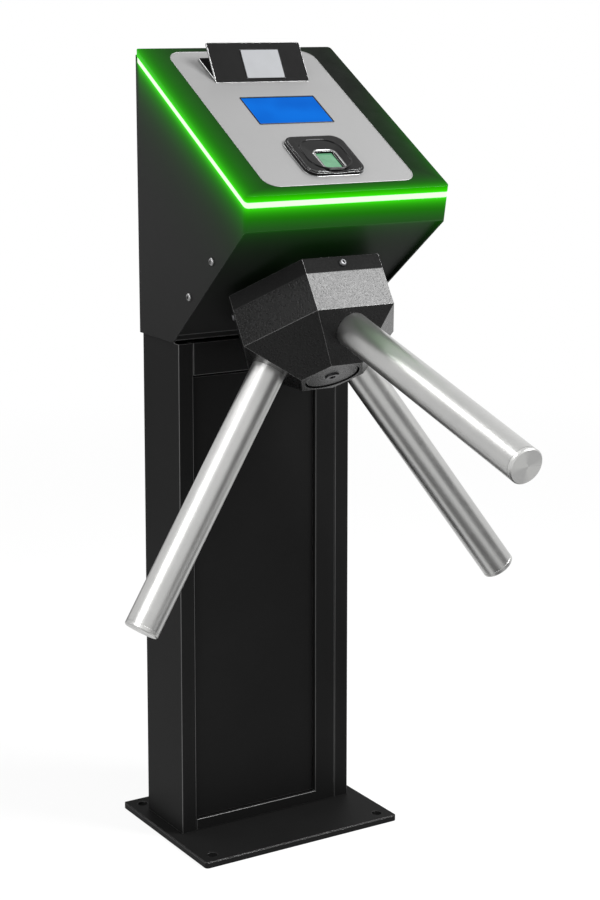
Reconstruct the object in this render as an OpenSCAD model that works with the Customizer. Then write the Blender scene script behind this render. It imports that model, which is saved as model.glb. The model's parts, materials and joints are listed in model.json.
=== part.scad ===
// Tripod turnstile on a single column, with a card reader, a screen and a fingerprint reader.
// Millimetres, +Z up, the front faces -Y. The origin is on the floor at the middle of the base plate.

/* [Base plate] */
// Width of the base plate
base_w = 298; // [292:1:304]
// Depth of the base plate
base_d = 237; // [232:1:242]
// Thickness of the base plate
base_t = 8; // [6:0.5:10]
// Corner radius of the base plate
base_corner_r = 5; // [3:0.5:8]
// Chamfer round the top of the base plate
base_chamfer = 1; // [0.5:0.1:1.5]
// How far the anchor holes stand in from the sides of the base plate
anchor_in_x = 20; // [18:0.5:23]
// How far the anchor holes stand in from the front and back of the base plate
anchor_in_y = 19.5; // [17.5:0.5:22.5]
// Anchor hole diameter
anchor_d = 14; // [12:0.5:16]
// Cable hole through the base plate
cable_hole_d = 60; // [50:1:70]
// Height of the collar welded inside the foot of the column
collar_h = 40; // [30:1:50]
// Thickness of that collar
collar_t = 4; // [3:0.5:5]

/* [Column] */
// How far each side of the column stands inside the lid's side
column_in = 18; // [17.5:0.25:19]
// Depth of the column
column_d = 99.5; // [97:0.5:102]
// How far the column's front stands in front of the origin
column_front = 21.4; // [19:0.2:23]
// Height at which the column's front ends under the housing
column_top = 672; // [669:0.5:673]
// Height of the hidden part of the column inside the housing
column_inner_top = 688; // [684:0.5:690]
// Sheet thickness of the column and the housing
sheet = 2; // [1.8:0.1:2.2]
// Width of the strip down each side of the front
side_strip = 21; // [18:0.5:24]
// Width of the shadow grooves in the front
groove = 1; // [0.6:0.1:1.4]
// Depth of the shadow grooves in the front
groove_depth = 12; // [11:0.5:14]
// Width of the frame to the right of the access cover
cover_frame_w = 30.5; // [26:0.5:34]
// Height of the bottom edge of the access cover
cover_bottom = 24.5; // [22:0.5:30]
// Height of the top edge of the access cover
cover_top = 626; // [600:1:630]
// Groove above the access cover
cover_gap_top = 3; // [2:0.5:4]
// How far the access cover stands back from the frame
cover_recess = 5.5; // [4:0.5:7]
// Width of the landing behind the access cover
landing = 10; // [8:1:14]

/* [Housing] */
// Height of the lid's back edge
lid_back_z = 1050; // [1046:1:1054]
// Distance of the lid's back edge behind the origin
lid_back_y = 55.6; // [54:0.4:57]
// Length of the lid down its slope
lid_length = 328.9; // [325:0.5:332]
// Width of the lid
lid_w = 298; // [296:0.5:300]
// Slope of the lid
lid_slope = 31.22; // [30.8:0.1:31.6]
// Thickness of the lid at its edge
lid_edge = 6.9; // [6:0.1:8]
// Thickness of the lid's top sheet
lid_sheet = 3; // [2.5:0.1:3.5]
// Width of the lid's rim
lid_rim = 4; // [3:0.5:5]
// Height of the light strip under the lid
led_h = 6.4; // [5.5:0.1:7.5]
// Depth of the light strip's diffuser
led_depth = 7; // [5:0.5:9]
// Thickness of the light board behind the diffuser
led_board_t = 1.6; // [1.2:0.1:2]
// Width of the ledge that carries the diffuser
ledge_w = 14; // [12:0.5:18]
// Height of the front face from the lid to the underside
band_h = 43.1; // [40:0.5:46]
// How far the front face leans back over that height
band_lean = 5.7; // [4:0.2:7]
// Height of the housing's bottom edge
housing_bottom = 674.4; // [673.5:0.1:675.5]
// How far the housing's bottom edge starts behind the column's front
bottom_start = 5.2; // [4:0.2:6]
// How far the housing's back stands behind the column's back at the bottom
back_gap = 3.4; // [3.2:0.1:4]
// How much each side leans in, per unit of depth below the lid
side_lean_share = 0.0455; // [0.044:0.0005:0.047]
// How far the underside panel stands inside the sides' edges
underside_inset = 5; // [4:0.5:6]
// How far the underside panel's lip stands behind the column's front
lip_back = 1.4; // [1:0.1:2]
// Height of the shims between column and housing
shim_h = 8; // [6:0.5:9]
// Depth of the shims between column and housing
shim_d = 60; // [50:1:70]

/* [Lid fittings] */
// Width of the silver control panel
panel_w = 220; // [215:1:225]
// Length of the silver control panel
panel_l = 302.3; // [298:0.5:306]
// Distance of the panel from the lid's back edge
panel_v = 10.5; // [9:0.5:12]
// Corner radius of the panel
panel_r = 20; // [15:1:25]
// Thickness of the panel
panel_t = 1.5; // [1.2:0.1:1.8]
// How far the panel stands above the lid
panel_rise = 0.3; // [0.2:0.1:0.5]
// Width of the screen
lcd_w = 110; // [106:1:114]
// Height of the screen
lcd_l = 60; // [56:1:64]
// Sideways place of the screen's middle
lcd_x = 2; // [0:0.5:4]
// Place of the screen's middle down the slope
lcd_v = 150; // [146:1:154]
// How far the screen lies below the lid
lcd_recess = 0.3; // [0.2:0.1:0.6]
// Thickness of the screen's module
lcd_module_t = 10; // [8:0.5:12]
// Overlap of the screen's module behind the window
lcd_module_border = 6; // [4:1:8]
// Width of the fingerprint reader's bezel
bezel_w = 86; // [82:1:90]
// Length of the fingerprint reader's bezel
bezel_l = 80; // [76:1:84]
// Height of the fingerprint reader's bezel
bezel_h = 6; // [5:0.2:7]
// Corner radius of the bezel
bezel_r = 16; // [12:1:20]
// Width of the step round the bezel's top
bezel_step = 3; // [2:0.5:4]
// Place of the bezel's middle down the slope
bezel_v = 256; // [252:1:258]
// Width of the fingerprint window
finger_w = 25; // [22:1:28]
// Length of the fingerprint window
finger_l = 33; // [30:1:36]
// Place of the fingerprint window below the bezel's middle
finger_v = 13; // [10:1:15]
// Thickness of the fingerprint window
finger_t = 1.5; // [1.2:0.1:2]
// Depth of the finger groove in the bezel
finger_groove = 2.6; // [2:0.2:3]
// Radius of the finger groove
finger_groove_r = 70; // [60:1:80]
// Width and length of the sensor under the bezel
finger_sensor = 40; // [38:1:44]
// Depth of the sensor under the lid
finger_sensor_d = 15; // [12:1:18]
// Width of the folded reader hood
hood_w = 142; // [138:1:146]
// Length of the hood's leg on the panel
hood_leg = 57.7; // [56:0.5:59]
// Length of the hood's front plate
hood_plate = 59; // [57:0.5:61]
// Angle between the two halves of the hood
hood_angle = 30.6; // [29:0.2:32]
// Thickness of the hood's sheet
hood_t = 2.5; // [2:0.1:3]
// Place of the hood's fold down the slope
hood_v = 85.5; // [84:0.5:87]
// Width of the reader window
window_w = 58; // [54:1:62]
// Height of the reader window
window_l = 42; // [38:1:44]
// Thickness of the reader window
window_t = 0.6; // [0.4:0.1:1]
// Sideways place of the reader window's middle
window_x = 6; // [3:0.5:9]
// Distance of the reader window from the fold
window_v = 6; // [5:0.5:8]
// Length of the reader module under the hood
reader_l = 24; // [22:1:26]
// Width of the reader module under the hood
reader_w = 64; // [60:1:70]
// Height of the reader module under the hood
reader_h = 9; // [8:0.5:10]

/* [Hub] */
// Place of the hub's top face, front to back
hub_y = -118.8; // [-119.8:0.1:-118.4]
// Height of the hub's top face
hub_z = 748.2; // [747.2:0.1:748.4]
// Angle between the hub's axis and the vertical
hub_tilt = 32; // [31.9:0.1:32.6]
// Corner radius of the hexagonal hub
hub_r = 112; // [109:0.5:112.5]
// Start of the hub below its reference point
hub_top = 3; // [2.5:0.1:4]
// Where the straight part of the hub ends
hub_edge = 72; // [71:0.5:74]
// Where the tapered part of the hub ends
hub_end = 125; // [124:0.5:127]
// Corner radius of the hub's end
hub_end_r = 46; // [45:0.5:48]
// Wall thickness of the hub's shell
hub_wall = 4; // [3.5:0.1:4.5]
// Thickness of the hub's end wall
hub_end_wall = 6; // [5:0.5:7]
// Radius of the round opening in the hub's end
hub_mouth_r = 36; // [34:0.5:37]
// Radius of the cap in that opening
end_cap_r = 33.5; // [32:0.5:33.5]
// Thickness of the cap
end_cap_t = 5.5; // [5:0.5:6]
// Thickness of the plate that closes the hub's top
back_plate_t = 4.5; // [4:0.1:4.5]
// Radius of the hub core
core_r = 30; // [28:0.5:31]
// Radius of the core's flange
core_flange_r = 60; // [55:1:65]
// Thickness of the core's flange
core_flange_t = 8; // [6:0.5:9]
// Wall of the sockets that hold the arms
socket_wall = 4; // [3.5:0.1:4.5]

/* [Arms] */
// Angle between an arm and the hub's axis
arm_angle = 41.2; // [40.6:0.1:41.4]
// Where the three arms' centre lines meet on the hub's axis
arm_apex = 8; // [7.5:0.1:8.5]
// Length of an arm from that point to its end
arm_reach = 475; // [460:1:490]
// Outside diameter of an arm
arm_d = 44.5; // [42:0.5:45]
// Wall thickness of an arm
arm_wall = 2; // [1.5:0.1:2.5]
// Where an arm starts in its socket
arm_seat = 48; // [46:1:52]
// End of the sockets
socket_end = 104; // [100:0.5:105]
// Thickness of an arm's end cap
arm_cap_t = 6; // [5:0.5:8]
// Chamfer of an arm's end cap
arm_cap_chamfer = 1.2; // [0.8:0.1:1.6]
// Length of the cap's plug inside the tube
arm_plug_l = 15; // [12:1:20]

/* [Mechanism] */
// Radius of the main shaft
shaft_r = 12.5; // [12:0.1:12.5]
// Radius of the shaft's collar
shaft_collar_r = 17; // [16:0.5:18]
// Distance of the mechanism plate's top face above the hub's reference point
plate_top = 40; // [39:0.5:42]
// Thickness of the mechanism plate
plate_t = 8; // [7:0.5:9]
// Reach of the mechanism plate towards the front
plate_front = 104; // [102:1:106]
// Reach of the mechanism plate towards the back
plate_back = 98; // [97:1:100]
// Thickness of the side brackets
bracket_t = 3; // [2.5:0.1:3.5]
// Width of the brackets' flanges under the plate
bracket_flange = 28; // [26:1:32]
// Outside radius of the ball bearings
bearing_r = 26; // [25.5:0.5:27]
// Width of the ball bearings
bearing_w = 15; // [14:0.5:16]
// Outside radius of the bearing housing
bearing_housing_r = 32; // [31:0.5:34]
// Radius of the bearing housing's flange
bearing_flange_r = 52; // [50:1:54]
// Thickness of the bearing housing's flange
bearing_flange_t = 8; // [6:0.5:8]
// Distance from the plate's top face to the top of the bearing housing
bearing_stand = 22; // [21:0.5:23]
// Radius of the lock disc
disc_r = 60; // [59:0.5:60]
// Thickness of the lock disc
disc_t = 8; // [7:0.5:8]
// Number of notches in the lock disc
notches = 12; // [12:12:12]
// Width of a notch at its bottom
notch_w = 13; // [13:0.5:14]
// Width of a notch at the rim
notch_mouth = 19; // [19:0.5:21]
// Depth of a notch
notch_d = 9; // [9:0.5:11]
// Teeth of the gear on the shaft
gear_teeth = 36; // [36:12:36]
// Teeth of the damper's pinion
pinion_teeth = 12; // [12:12:12]
// Tooth size: pitch diameter per tooth
tooth_module = 3; // [2.9:0.05:3]
// Width of the gear
gear_w = 10; // [8:0.5:10]
// Radius of the rotary damper
damper_r = 21; // [19:0.5:21]
// Height of the rotary damper
damper_h = 24; // [22:0.5:24]
// Radius of the damper's shaft
damper_shaft_r = 4; // [3.5:0.1:4]
// Sideways place of a pawl's pivot
pawl_x = 80; // [79:0.5:81]
// Forward place of a pawl's pivot
pawl_y = 42; // [41:0.5:43]
// Radius of a pawl's pin
pawl_pin_r = 4; // [3.5:0.1:4]
// Angle through which a pawl swings
pawl_swing = 12; // [12:0.5:13]
// Width of a pawl's tooth
pawl_tooth_w = 10; // [9:0.5:10]
// How deep a pawl's tooth goes into a notch
pawl_bite = 7; // [6:0.5:7]
// Length of a pawl's tail from its pivot
tail_l = 29; // [28:0.5:30]
// Radius of a solenoid's plunger
plunger_r = 5; // [4.5:0.1:5]
// Length of a solenoid
solenoid_l = 40; // [36:1:42]
// Height and depth of a solenoid
solenoid_h = 28; // [26:1:28]
// Distance between the middle and each solenoid
solenoid_x = 20; // [18:1:22]

/* [Electronics] */
// Width of the mounting plate inside the column
tray_w = 190; // [180:1:200]
// Height of the mounting plate inside the column
tray_h = 380; // [360:1:400]
// Height at which the mounting plate starts
tray_z = 180; // [160:1:200]
// Width of the control board
board_w = 150; // [140:1:160]
// Height of the control board
board_h = 110; // [100:1:120]
// Thickness of the control board
board_t = 1.6; // [1.2:0.1:2]
// Length of the spacers under the control board
spacer_h = 10; // [8:0.5:12]
// Width of the power supply
supply_w = 98; // [90:1:105]
// Height of the power supply
supply_h = 130; // [120:1:140]
// Depth of the power supply
supply_d = 38; // [34:1:42]

/* [Fasteners and fits] */
// Distance of the side screws from the underside edge
side_screw_in = 19; // [18:0.5:20]
// Distance of the first side screw from the bottom corner
side_screw_start = 81.6; // [80:0.2:83]
// Spacing of the side screws
side_screw_pitch = 84; // [82:0.5:86]
// Shank radius of the screws
screw_r = 3; // [2.5:0.1:3.2]
// Head radius of the screws
head_r = 5.2; // [5:0.1:5.6]
// Head height of the screws
head_h = 3; // [2.5:0.1:3.3]
// Width across the corners of the hexagonal sockets
socket_w = 4.6; // [4:0.1:5]
// Running clearance of a shaft in its bore
run_fit = 0.05; // [0.03:0.01:0.08]
// Clearance between pieces that move past each other
move_gap = 0.4; // [0.35:0.05:0.5]
// Clearance round a piece that is let into another
let_in = 0.2; // [0.15:0.05:0.3]

/* [Hidden] */
$fn = 64;
// Overrun of the cuts
over = 1;
far = 2000;

// Anchor hole spacings, and the column's width and faces
anchor_pitch_x = base_w - 2 * anchor_in_x;
anchor_pitch_y = base_d - 2 * anchor_in_y;
column_w = lid_w - 2 * column_in;
column_front_y = -column_front;
column_back_y = column_d - column_front;

// The side view of the housing, as points of Y and Z going round from the lid's back edge
lid_back = [lid_back_y, lid_back_z];
lid_front = lid_back - lid_length * [cos(lid_slope), sin(lid_slope)];
band_foot = lid_front + [band_lean, -band_h];
bottom_front = [column_front_y + bottom_start, housing_bottom];
bottom_back = [column_back_y + back_gap, housing_bottom];
profile = [lid_back, lid_front, band_foot, bottom_front, bottom_back];
shell_top = lid_edge + led_h;
lean_factor = sqrt(1 + side_lean_share * side_lean_share);
lean_angle = atan(side_lean_share);

// The column's front, as half widths and places across
opening_half = column_w / 2 - side_strip;
frame_half = opening_half - groove;
cover_left = -frame_half + groove;
cover_right = frame_half - cover_frame_w - groove;
landing_y = column_front_y + groove_depth;

// The hub's half outline and the places along its axis; a minus sign is inside the housing
hub_flat = hub_r * cos(30);
hub_end_flat = hub_end_r * cos(30);
hub_outline = [
    [-hub_flat, hub_top], [hub_flat, hub_top], [hub_flat, hub_edge],
    [hub_end_flat, hub_end], [-hub_end_flat, hub_end], [-hub_flat, hub_edge]
];
back_plate_flat = hub_flat - hub_wall - let_in;
core_top = hub_top + back_plate_t + run_fit * 10;
core_end = hub_end - hub_end_wall - over;
arm_r = arm_d / 2;
arm_end = arm_reach - arm_cap_t;
socket_start = arm_seat - 14;
nose_end = 0;
collar_top = -move_gap * 6;
lower_bearing_end = collar_top - move_gap;
housing_head = -plate_top - bearing_stand;
upper_bearing_start = housing_head + move_gap * 5;
bearing_shoulder = 4;
disc_end = housing_head - bearing_w / 2;
disc_start = disc_end - disc_t;
gear_end = disc_start - bearing_w * 2 / 5;
gear_start = gear_end - gear_w;
nut_h = 10;
shaft_start = gear_start - nut_h;
nut_r = 18;
disc_boss_r = 22;
disc_mid = (disc_start + disc_end) / 2;

// The damper stands behind the shaft, in mesh with the gear
gear_pitch_r = gear_teeth * tooth_module / 2;
pinion_pitch_r = pinion_teeth * tooth_module / 2;
damper_y = -gear_pitch_r - pinion_pitch_r;

// The pawls and their plungers
rest_swing = pawl_swing / 2;
plunger_y = pawl_y + tail_l + plunger_r + 4;
tail_knob_r = 3.6;
tail_rest_x = pawl_x - tail_l * sin(rest_swing);
collar_gap = tail_knob_r + move_gap;
plunger_collar_t = 2.5;
plunger_collar_r = 11;

// Paints and metals
black_powder = [0.09, 0.09, 0.095];
gloss_black = [0.03, 0.035, 0.035];
satin_silver = [0.72, 0.73, 0.73];
steel = [0.75, 0.76, 0.77];
dark_steel = [0.35, 0.36, 0.37];
cast_grey = [0.55, 0.56, 0.57];
glow_green = [0.25, 1, 0.1];
board_green = [0.05, 0.35, 0.15];
screen_blue = [0.05, 0.4, 0.85];
pale_grey = [0.82, 0.84, 0.85];
brass_yellow = [0.75, 0.6, 0.25];

// Left-hand unit normal of the edge from p to q
function inward(p, q) = [p[1] - q[1], q[0] - p[0]] / norm(q - p);

// Where the line through p along u meets the line through q along w
function meet(p, u, q, w) = p + u * ((q[0] - p[0]) * w[1] - (q[1] - p[1]) * w[0]) / (u[0] * w[1] - u[1] * w[0]);

// An outline with each edge moved inwards by its own amount
function inset(points, gaps) =
    let (n = len(points))
    [for (i = [0 : n - 1])
        let (a = points[(i + n - 1) % n], b = points[i], c = points[(i + 1) % n])
        meet(a + gaps[(i + n - 1) % n] * inward(a, b), b - a, b + gaps[i] * inward(b, c), c - b)];

// Depth of a Y-Z point below the lid, and its distance down the slope
function lid_depth(p) = (p[0] - lid_back[0]) * sin(lid_slope) - (p[1] - lid_back[1]) * cos(lid_slope);
function lid_down(p) = -(p[0] - lid_back[0]) * cos(lid_slope) - (p[1] - lid_back[1]) * sin(lid_slope);

// Height of the plane that lies inside the underside by a gap, at the place y
under_rise = (band_foot[1] - bottom_front[1]) / (band_foot[0] - bottom_front[0]);
function under_z(y, gap) = bottom_front[1] + (y - bottom_front[0]) * under_rise + gap * norm([1, under_rise]);

// Outline of a gear with straight-sided teeth
tooth_shares = [[-0.33, -1.25], [-0.12, 0.9], [0.12, 0.9], [0.33, -1.25]];
function gear_outline(teeth) =
    [for (i = [0 : teeth - 1], s = tooth_shares)
        let (a = 360 / teeth * (i + s[0]), r = tooth_module * (teeth / 2 + s[1]))
        r * [cos(a), sin(a)]];

// Frame of the lid: X across, Y up the slope, Z out of the lid, from the middle of its back edge
module at_lid() {
    translate([0, lid_back_y, lid_back_z])
        rotate([lid_slope, 0, 0])
            children();
}

// Frame of the hub: Z out along its axis, Y up to the front
module at_hub() {
    translate([0, hub_y, hub_z])
        rotate([180 - hub_tilt, 0, 0])
            children();
}

// Frame of an arm: Z out along the arm
module at_arm(turn) {
    at_hub()
        translate([0, 0, arm_apex])
            rotate([0, 0, turn])
                rotate([-arm_angle, 0, 0])
                    children();
}

// Frame on the housing's right side at a Y-Z point: Z out of the side
module on_side(p) {
    at_lid()
        translate([lid_w / 2 - side_lean_share * lid_depth(p), -lid_down(p), -lid_depth(p)])
            rotate([0, 90 + lean_angle, 0])
                children();
}

// A Y-Z outline extruded across the whole width
module across(width) {
    rotate([90, 0, 90])
        linear_extrude(height = width, center = true)
            children();
}

// The space between the two leaning sides, moved in by a gap
module wedge(gap) {
    half = lid_w / 2 - gap * lean_factor;
    at_lid()
        rotate([90, 0, 0])
            linear_extrude(height = far, center = true)
                polygon([
                    [-half - side_lean_share * lid_length, lid_length],
                    [-half + side_lean_share * 2 * lid_length, -2 * lid_length],
                    [half - side_lean_share * 2 * lid_length, -2 * lid_length],
                    [half + side_lean_share * lid_length, lid_length]
                ]);
}

// The housing's outside moved in: gaps are for lid, front, underside, bottom and back
module envelope(gaps, side_gap) {
    intersection() {
        across(far)
            polygon(inset(profile, gaps));
        wedge(side_gap);
    }
}

// The part of something between two depths below the lid
module layer(from, to) {
    intersection() {
        children();
        at_lid()
            translate([-far / 2, -far / 2, -to])
                cube([far, far, to - from]);
    }
}

// A flat rectangle with round corners, about its middle
module rounded(w, l, r) {
    union() {
        square([w - 2 * r, l], center = true);
        square([w, l - 2 * r], center = true);
        for (x = [-1, 1], y = [-1, 1])
            translate([x * (w / 2 - r), y * (l / 2 - r)])
                circle(r = r);
    }
}

// A box given by its two corners
module block(low, high) {
    translate(low)
        cube(high - low);
}

// A round bar between two places along Z
module bar(r, from, to) {
    translate([0, 0, from])
        cylinder(r = r, h = to - from);
}

// A button-head screw: its head stands on Z = 0 and its shank goes down
module button_screw(length) {
    difference() {
        union() {
            bar(screw_r, -length, over / 2);
            bar(head_r, 0, head_h / 2);
            translate([0, 0, head_h / 2])
                cylinder(r1 = head_r, r2 = head_r * 2 / 3, h = head_h / 2);
        }
        translate([0, 0, head_h / 3])
            cylinder(d = socket_w, h = head_h, $fn = 6);
    }
}

// Hexagonal solid from a half outline of radius and place along Z
module hexagonal(outline) {
    intersection() {
        rotate([90, 0, 30])
            linear_extrude(height = far, center = true)
                polygon(outline);
        rotate([90, 0, 90])
            linear_extrude(height = far, center = true)
                polygon(outline);
        rotate([90, 0, 150])
            linear_extrude(height = far, center = true)
                polygon(outline);
    }
}

module base_plate() {
    color(black_powder)
    difference() {
        intersection() {
            linear_extrude(height = base_t)
                rounded(base_w, base_d, base_corner_r);
            rotate([90, 0, 0])
                linear_extrude(height = far, center = true)
                    polygon(chamfered(base_w / 2));
            rotate([90, 0, 90])
                linear_extrude(height = far, center = true)
                    polygon(chamfered(base_d / 2));
        }
        for (x = [-1, 1], y = [-1, 1])
            translate([x * anchor_pitch_x / 2, y * anchor_pitch_y / 2, 0])
                bar(anchor_d / 2, -over, base_t + over);
        translate([0, (column_front_y + column_back_y) / 2, 0])
            bar(cable_hole_d / 2, -over, base_t + over);
    }
}

// Half outline of the base plate with its chamfered top edge
function chamfered(half) = [
    [-half, 0], [half, 0], [half, base_t - base_chamfer],
    [half - base_chamfer, base_t], [base_chamfer - half, base_t], [-half, base_t - base_chamfer]
];

module base_collar() {
    half = column_w / 2 - sheet;
    front = landing_y + sheet;
    back = column_back_y - sheet;
    color(black_powder)
    difference() {
        block([-half, front, base_t], [half, back, base_t + collar_h]);
        block([collar_t - half, front + collar_t, base_t - over],
              [half - collar_t, back - collar_t, base_t + collar_h + over]);
    }
}

module column_shell() {
    half = column_w / 2;
    color(black_powder)
    union() {
        // Back and the two sides, which go on up inside the housing
        block([-half, column_back_y - sheet, base_t], [half, column_back_y, column_inner_top]);
        for (side = [0, 1])
            mirror([side, 0, 0]) {
                block([half - sheet, column_front_y, base_t], [half, column_back_y, column_top]);
                block([half - sheet, column_front_y + groove_depth, column_top - over],
                      [half, column_back_y, column_inner_top]);
                // Front strip, its folded edge and the landing for the front frame
                block([opening_half, column_front_y, base_t],
                      [half, column_front_y + sheet, column_top]);
                block([opening_half, column_front_y, base_t],
                      [opening_half + sheet, landing_y + sheet, column_top]);
                block([opening_half - landing, landing_y, base_t],
                      [opening_half + sheet, landing_y + sheet, column_top]);
            }
    }
}

module front_frame() {
    low = base_t + groove / 2;
    left = -frame_half;
    right = frame_half;
    hole_right = cover_right + groove;
    hole_low = cover_bottom - groove;
    hole_high = cover_top + cover_gap_top;
    color(black_powder)
    union() {
        difference() {
            block([left, column_front_y, low], [right, landing_y, column_top]);
            block([left + sheet, column_front_y + sheet, low + sheet],
                  [right - sheet, landing_y + over, column_top - sheet]);
            block([left - over, column_front_y - over, hole_low],
                  [hole_right, landing_y + over, hole_high]);
        }
        // Folded edges of the opening
        block([hole_right, column_front_y, hole_low - sheet],
              [hole_right + sheet, landing_y, hole_high + sheet]);
        block([left, column_front_y, hole_low - sheet], [hole_right + sheet, landing_y, hole_low]);
        block([left, column_front_y, hole_high], [hole_right + sheet, landing_y, hole_high + sheet]);
        // Landing behind the access cover
        block([cover_right - landing, landing_y, hole_low - sheet],
              [hole_right + sheet, landing_y + sheet, hole_high + sheet]);
        block([landing - opening_half, landing_y, hole_low - sheet],
              [hole_right + sheet, landing_y + sheet, hole_low + landing]);
        block([landing - opening_half, landing_y, hole_high - landing],
              [hole_right + sheet, landing_y + sheet, hole_high + sheet]);
    }
}

module access_cover() {
    front = column_front_y + cover_recess;
    color(black_powder)
    difference() {
        block([cover_left, front, cover_bottom], [cover_right, landing_y, cover_top]);
        block([cover_left + sheet, front + sheet, cover_bottom + sheet],
              [cover_right - sheet, landing_y + over, cover_top - sheet]);
    }
}

// Places of the control board's corner spacers, from the board's middle
spacer_places = [for (x = [-1, 1], z = [-1, 1]) [x * (board_w / 2 - 6), z * (board_h / 2 - 6)]];
tray_back = column_back_y - sheet;
tray_stand = 12;
tray_front = tray_back - tray_stand;
board_z = tray_z + tray_h - board_h / 2 - 20;
supply_z = tray_z + supply_h / 2 + 20;

module mounting_plate() {
    color(steel)
    difference() {
        block([-tray_w / 2, tray_front, tray_z], [tray_w / 2, tray_back, tray_z + tray_h]);
        block([sheet - tray_w / 2, tray_front + sheet, tray_z - over],
              [tray_w / 2 - sheet, tray_back + over, tray_z + tray_h + over]);
    }
}

module board_spacers() {
    color(brass_yellow)
    for (p = spacer_places)
        translate([p[0], tray_front, board_z + p[1]])
            rotate([90, 0, 0])
                cylinder(r = 3, h = spacer_h);
}

module control_board() {
    back = tray_front - spacer_h;
    face = back - board_t;
    relay = [19, 15, 15];
    socket = [10, 12, 22];
    chip = [14, 2, 14];
    color(board_green)
    union() {
        block([-board_w / 2, face, board_z - board_h / 2], [board_w / 2, back, board_z + board_h / 2]);
        for (i = [0 : 3])
            translate([(i - 1.5) * relay[0] * 1.3 - relay[0] / 2, face - relay[1], board_z])
                cube(relay + [0, over / 2, 0]);
        for (i = [0 : 4])
            translate([(i - 2) * socket[2] - socket[0] / 2, face - socket[1], board_z - board_h / 2 + 4])
                cube([socket[0], socket[1] + over / 2, socket[0]]);
        translate([-chip[0] / 2, face - chip[1], board_z - chip[2] * 2])
            cube(chip + [0, over / 2, 0]);
    }
}

module power_supply() {
    slots = 6;
    slot = [supply_w * 2 / 3, 3, 4];
    color(steel)
    difference() {
        block([-supply_w / 2, tray_front - supply_d, supply_z - supply_h / 2],
              [supply_w / 2, tray_front, supply_z + supply_h / 2]);
        for (i = [0 : slots - 1])
            translate([-slot[0] / 2, tray_front - supply_d - over, supply_z + (i - slots / 2) * slot[2] * 3])
                cube([slot[0], slot[1] + over, slot[2]]);
    }
}

// The places of the side screws, as Y-Z points on the housing's side
under_dir = (band_foot - bottom_front) / norm(band_foot - bottom_front);
side_screw_places = [for (i = [0, 1])
    bottom_front + (side_screw_start + i * side_screw_pitch) * under_dir + side_screw_in * [-under_dir[1], under_dir[0]] * -1];

module side_screw_holes() {
    for (p = side_screw_places, side = [0, 1])
        mirror([side, 0, 0])
            on_side(p)
                bar(screw_r, -sheet - bracket_t - over, over);
}

module housing_shell() {
    open = -lid_length;
    color(black_powder)
    difference() {
        union() {
            // Sides, front band and back
            difference() {
                envelope([shell_top, 0, 0, 0, 0], 0);
                envelope([-over, sheet, open, open, sheet], sheet);
            }
            // The back wall reaches up to the lid
            difference() {
                envelope([lid_edge, 0, 0, 0, 0], 0);
                envelope([-over, open, open, open, sheet], -over);
            }
            // Ledge that carries the light strip
            layer(shell_top, shell_top + sheet)
                difference() {
                    envelope([0, 0, 0, 0, 0], 0);
                    envelope([-over, ledge_w, open, open, ledge_w], ledge_w);
                }
        }
        side_screw_holes();
    }
}

module underside_panel() {
    front_y = band_foot[0];
    lip_y = column_front_y + lip_back;
    inside = underside_inset + sheet;
    color(black_powder)
    difference() {
        intersection() {
            across(far)
                polygon([
                    [front_y, under_z(front_y, underside_inset)],
                    [lip_y, under_z(lip_y, underside_inset)],
                    [lip_y, housing_bottom],
                    [lip_y + sheet, housing_bottom],
                    [lip_y + sheet, under_z(lip_y + sheet, inside)],
                    [front_y, under_z(front_y, inside)]
                ]);
            envelope([shell_top, sheet, 0, 0, sheet], sheet);
        }
        at_hub()
            bar(bearing_housing_r + let_in, -plate_top, hub_top);
    }
}

module housing_shims() {
    middle = (column_front_y + column_back_y) / 2;
    shim_top = column_inner_top - over;
    color(dark_steel)
    intersection() {
        wedge(sheet);
        for (side = [0, 1])
            mirror([side, 0, 0])
                block([column_w / 2, middle - shim_d / 2, shim_top - shim_h],
                      [lid_w, middle + shim_d / 2, shim_top]);
    }
}

// Cut-outs through the lid and the panel for the screen and the fingerprint sensor
module lid_windows() {
    at_lid() {
        translate([lcd_x - lcd_w / 2, -lcd_v - lcd_l / 2, -lid_edge])
            cube([lcd_w, lcd_l, 2 * lid_edge]);
        translate([-finger_sensor / 2, -bezel_v - finger_sensor / 2, -lid_edge])
            cube([finger_sensor, finger_sensor, 2 * lid_edge]);
    }
}

module lid() {
    color(gloss_black)
    difference() {
        layer(0, lid_edge)
            envelope([0, 0, 0, 0, 0], 0);
        envelope([lid_sheet, lid_rim, lid_rim, lid_rim, lid_rim], lid_rim);
        at_lid()
            translate([0, -panel_v - panel_l / 2, panel_rise - panel_t])
                linear_extrude(height = panel_t)
                    rounded(panel_w + let_in, panel_l + let_in, panel_r);
        lid_windows();
    }
}

module led_diffuser() {
    open = -lid_length;
    color(glow_green)
    difference() {
        layer(lid_edge, shell_top)
            envelope([0, 0, 0, 0, sheet], 0);
        envelope([-over, led_depth, open, open, open], led_depth);
    }
}

module led_strip() {
    open = -lid_length;
    color(pale_grey)
    difference() {
        layer(lid_edge + let_in * 3, shell_top - let_in * 3)
            envelope([0, led_depth, 0, 0, sheet], led_depth);
        envelope([-over, led_depth + led_board_t, open, open, open], led_depth + led_board_t);
    }
}

module control_panel() {
    color(satin_silver)
    difference() {
        at_lid()
            translate([0, -panel_v - panel_l / 2, panel_rise - panel_t])
                linear_extrude(height = panel_t)
                    rounded(panel_w, panel_l, panel_r);
        lid_windows();
    }
}

module lcd_glass() {
    color(screen_blue)
    at_lid()
        translate([lcd_x - lcd_w / 2 + let_in, -lcd_v - lcd_l / 2 + let_in, -lid_sheet])
            cube([lcd_w - 2 * let_in, lcd_l - 2 * let_in, lid_sheet - lcd_recess]);
}

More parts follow.
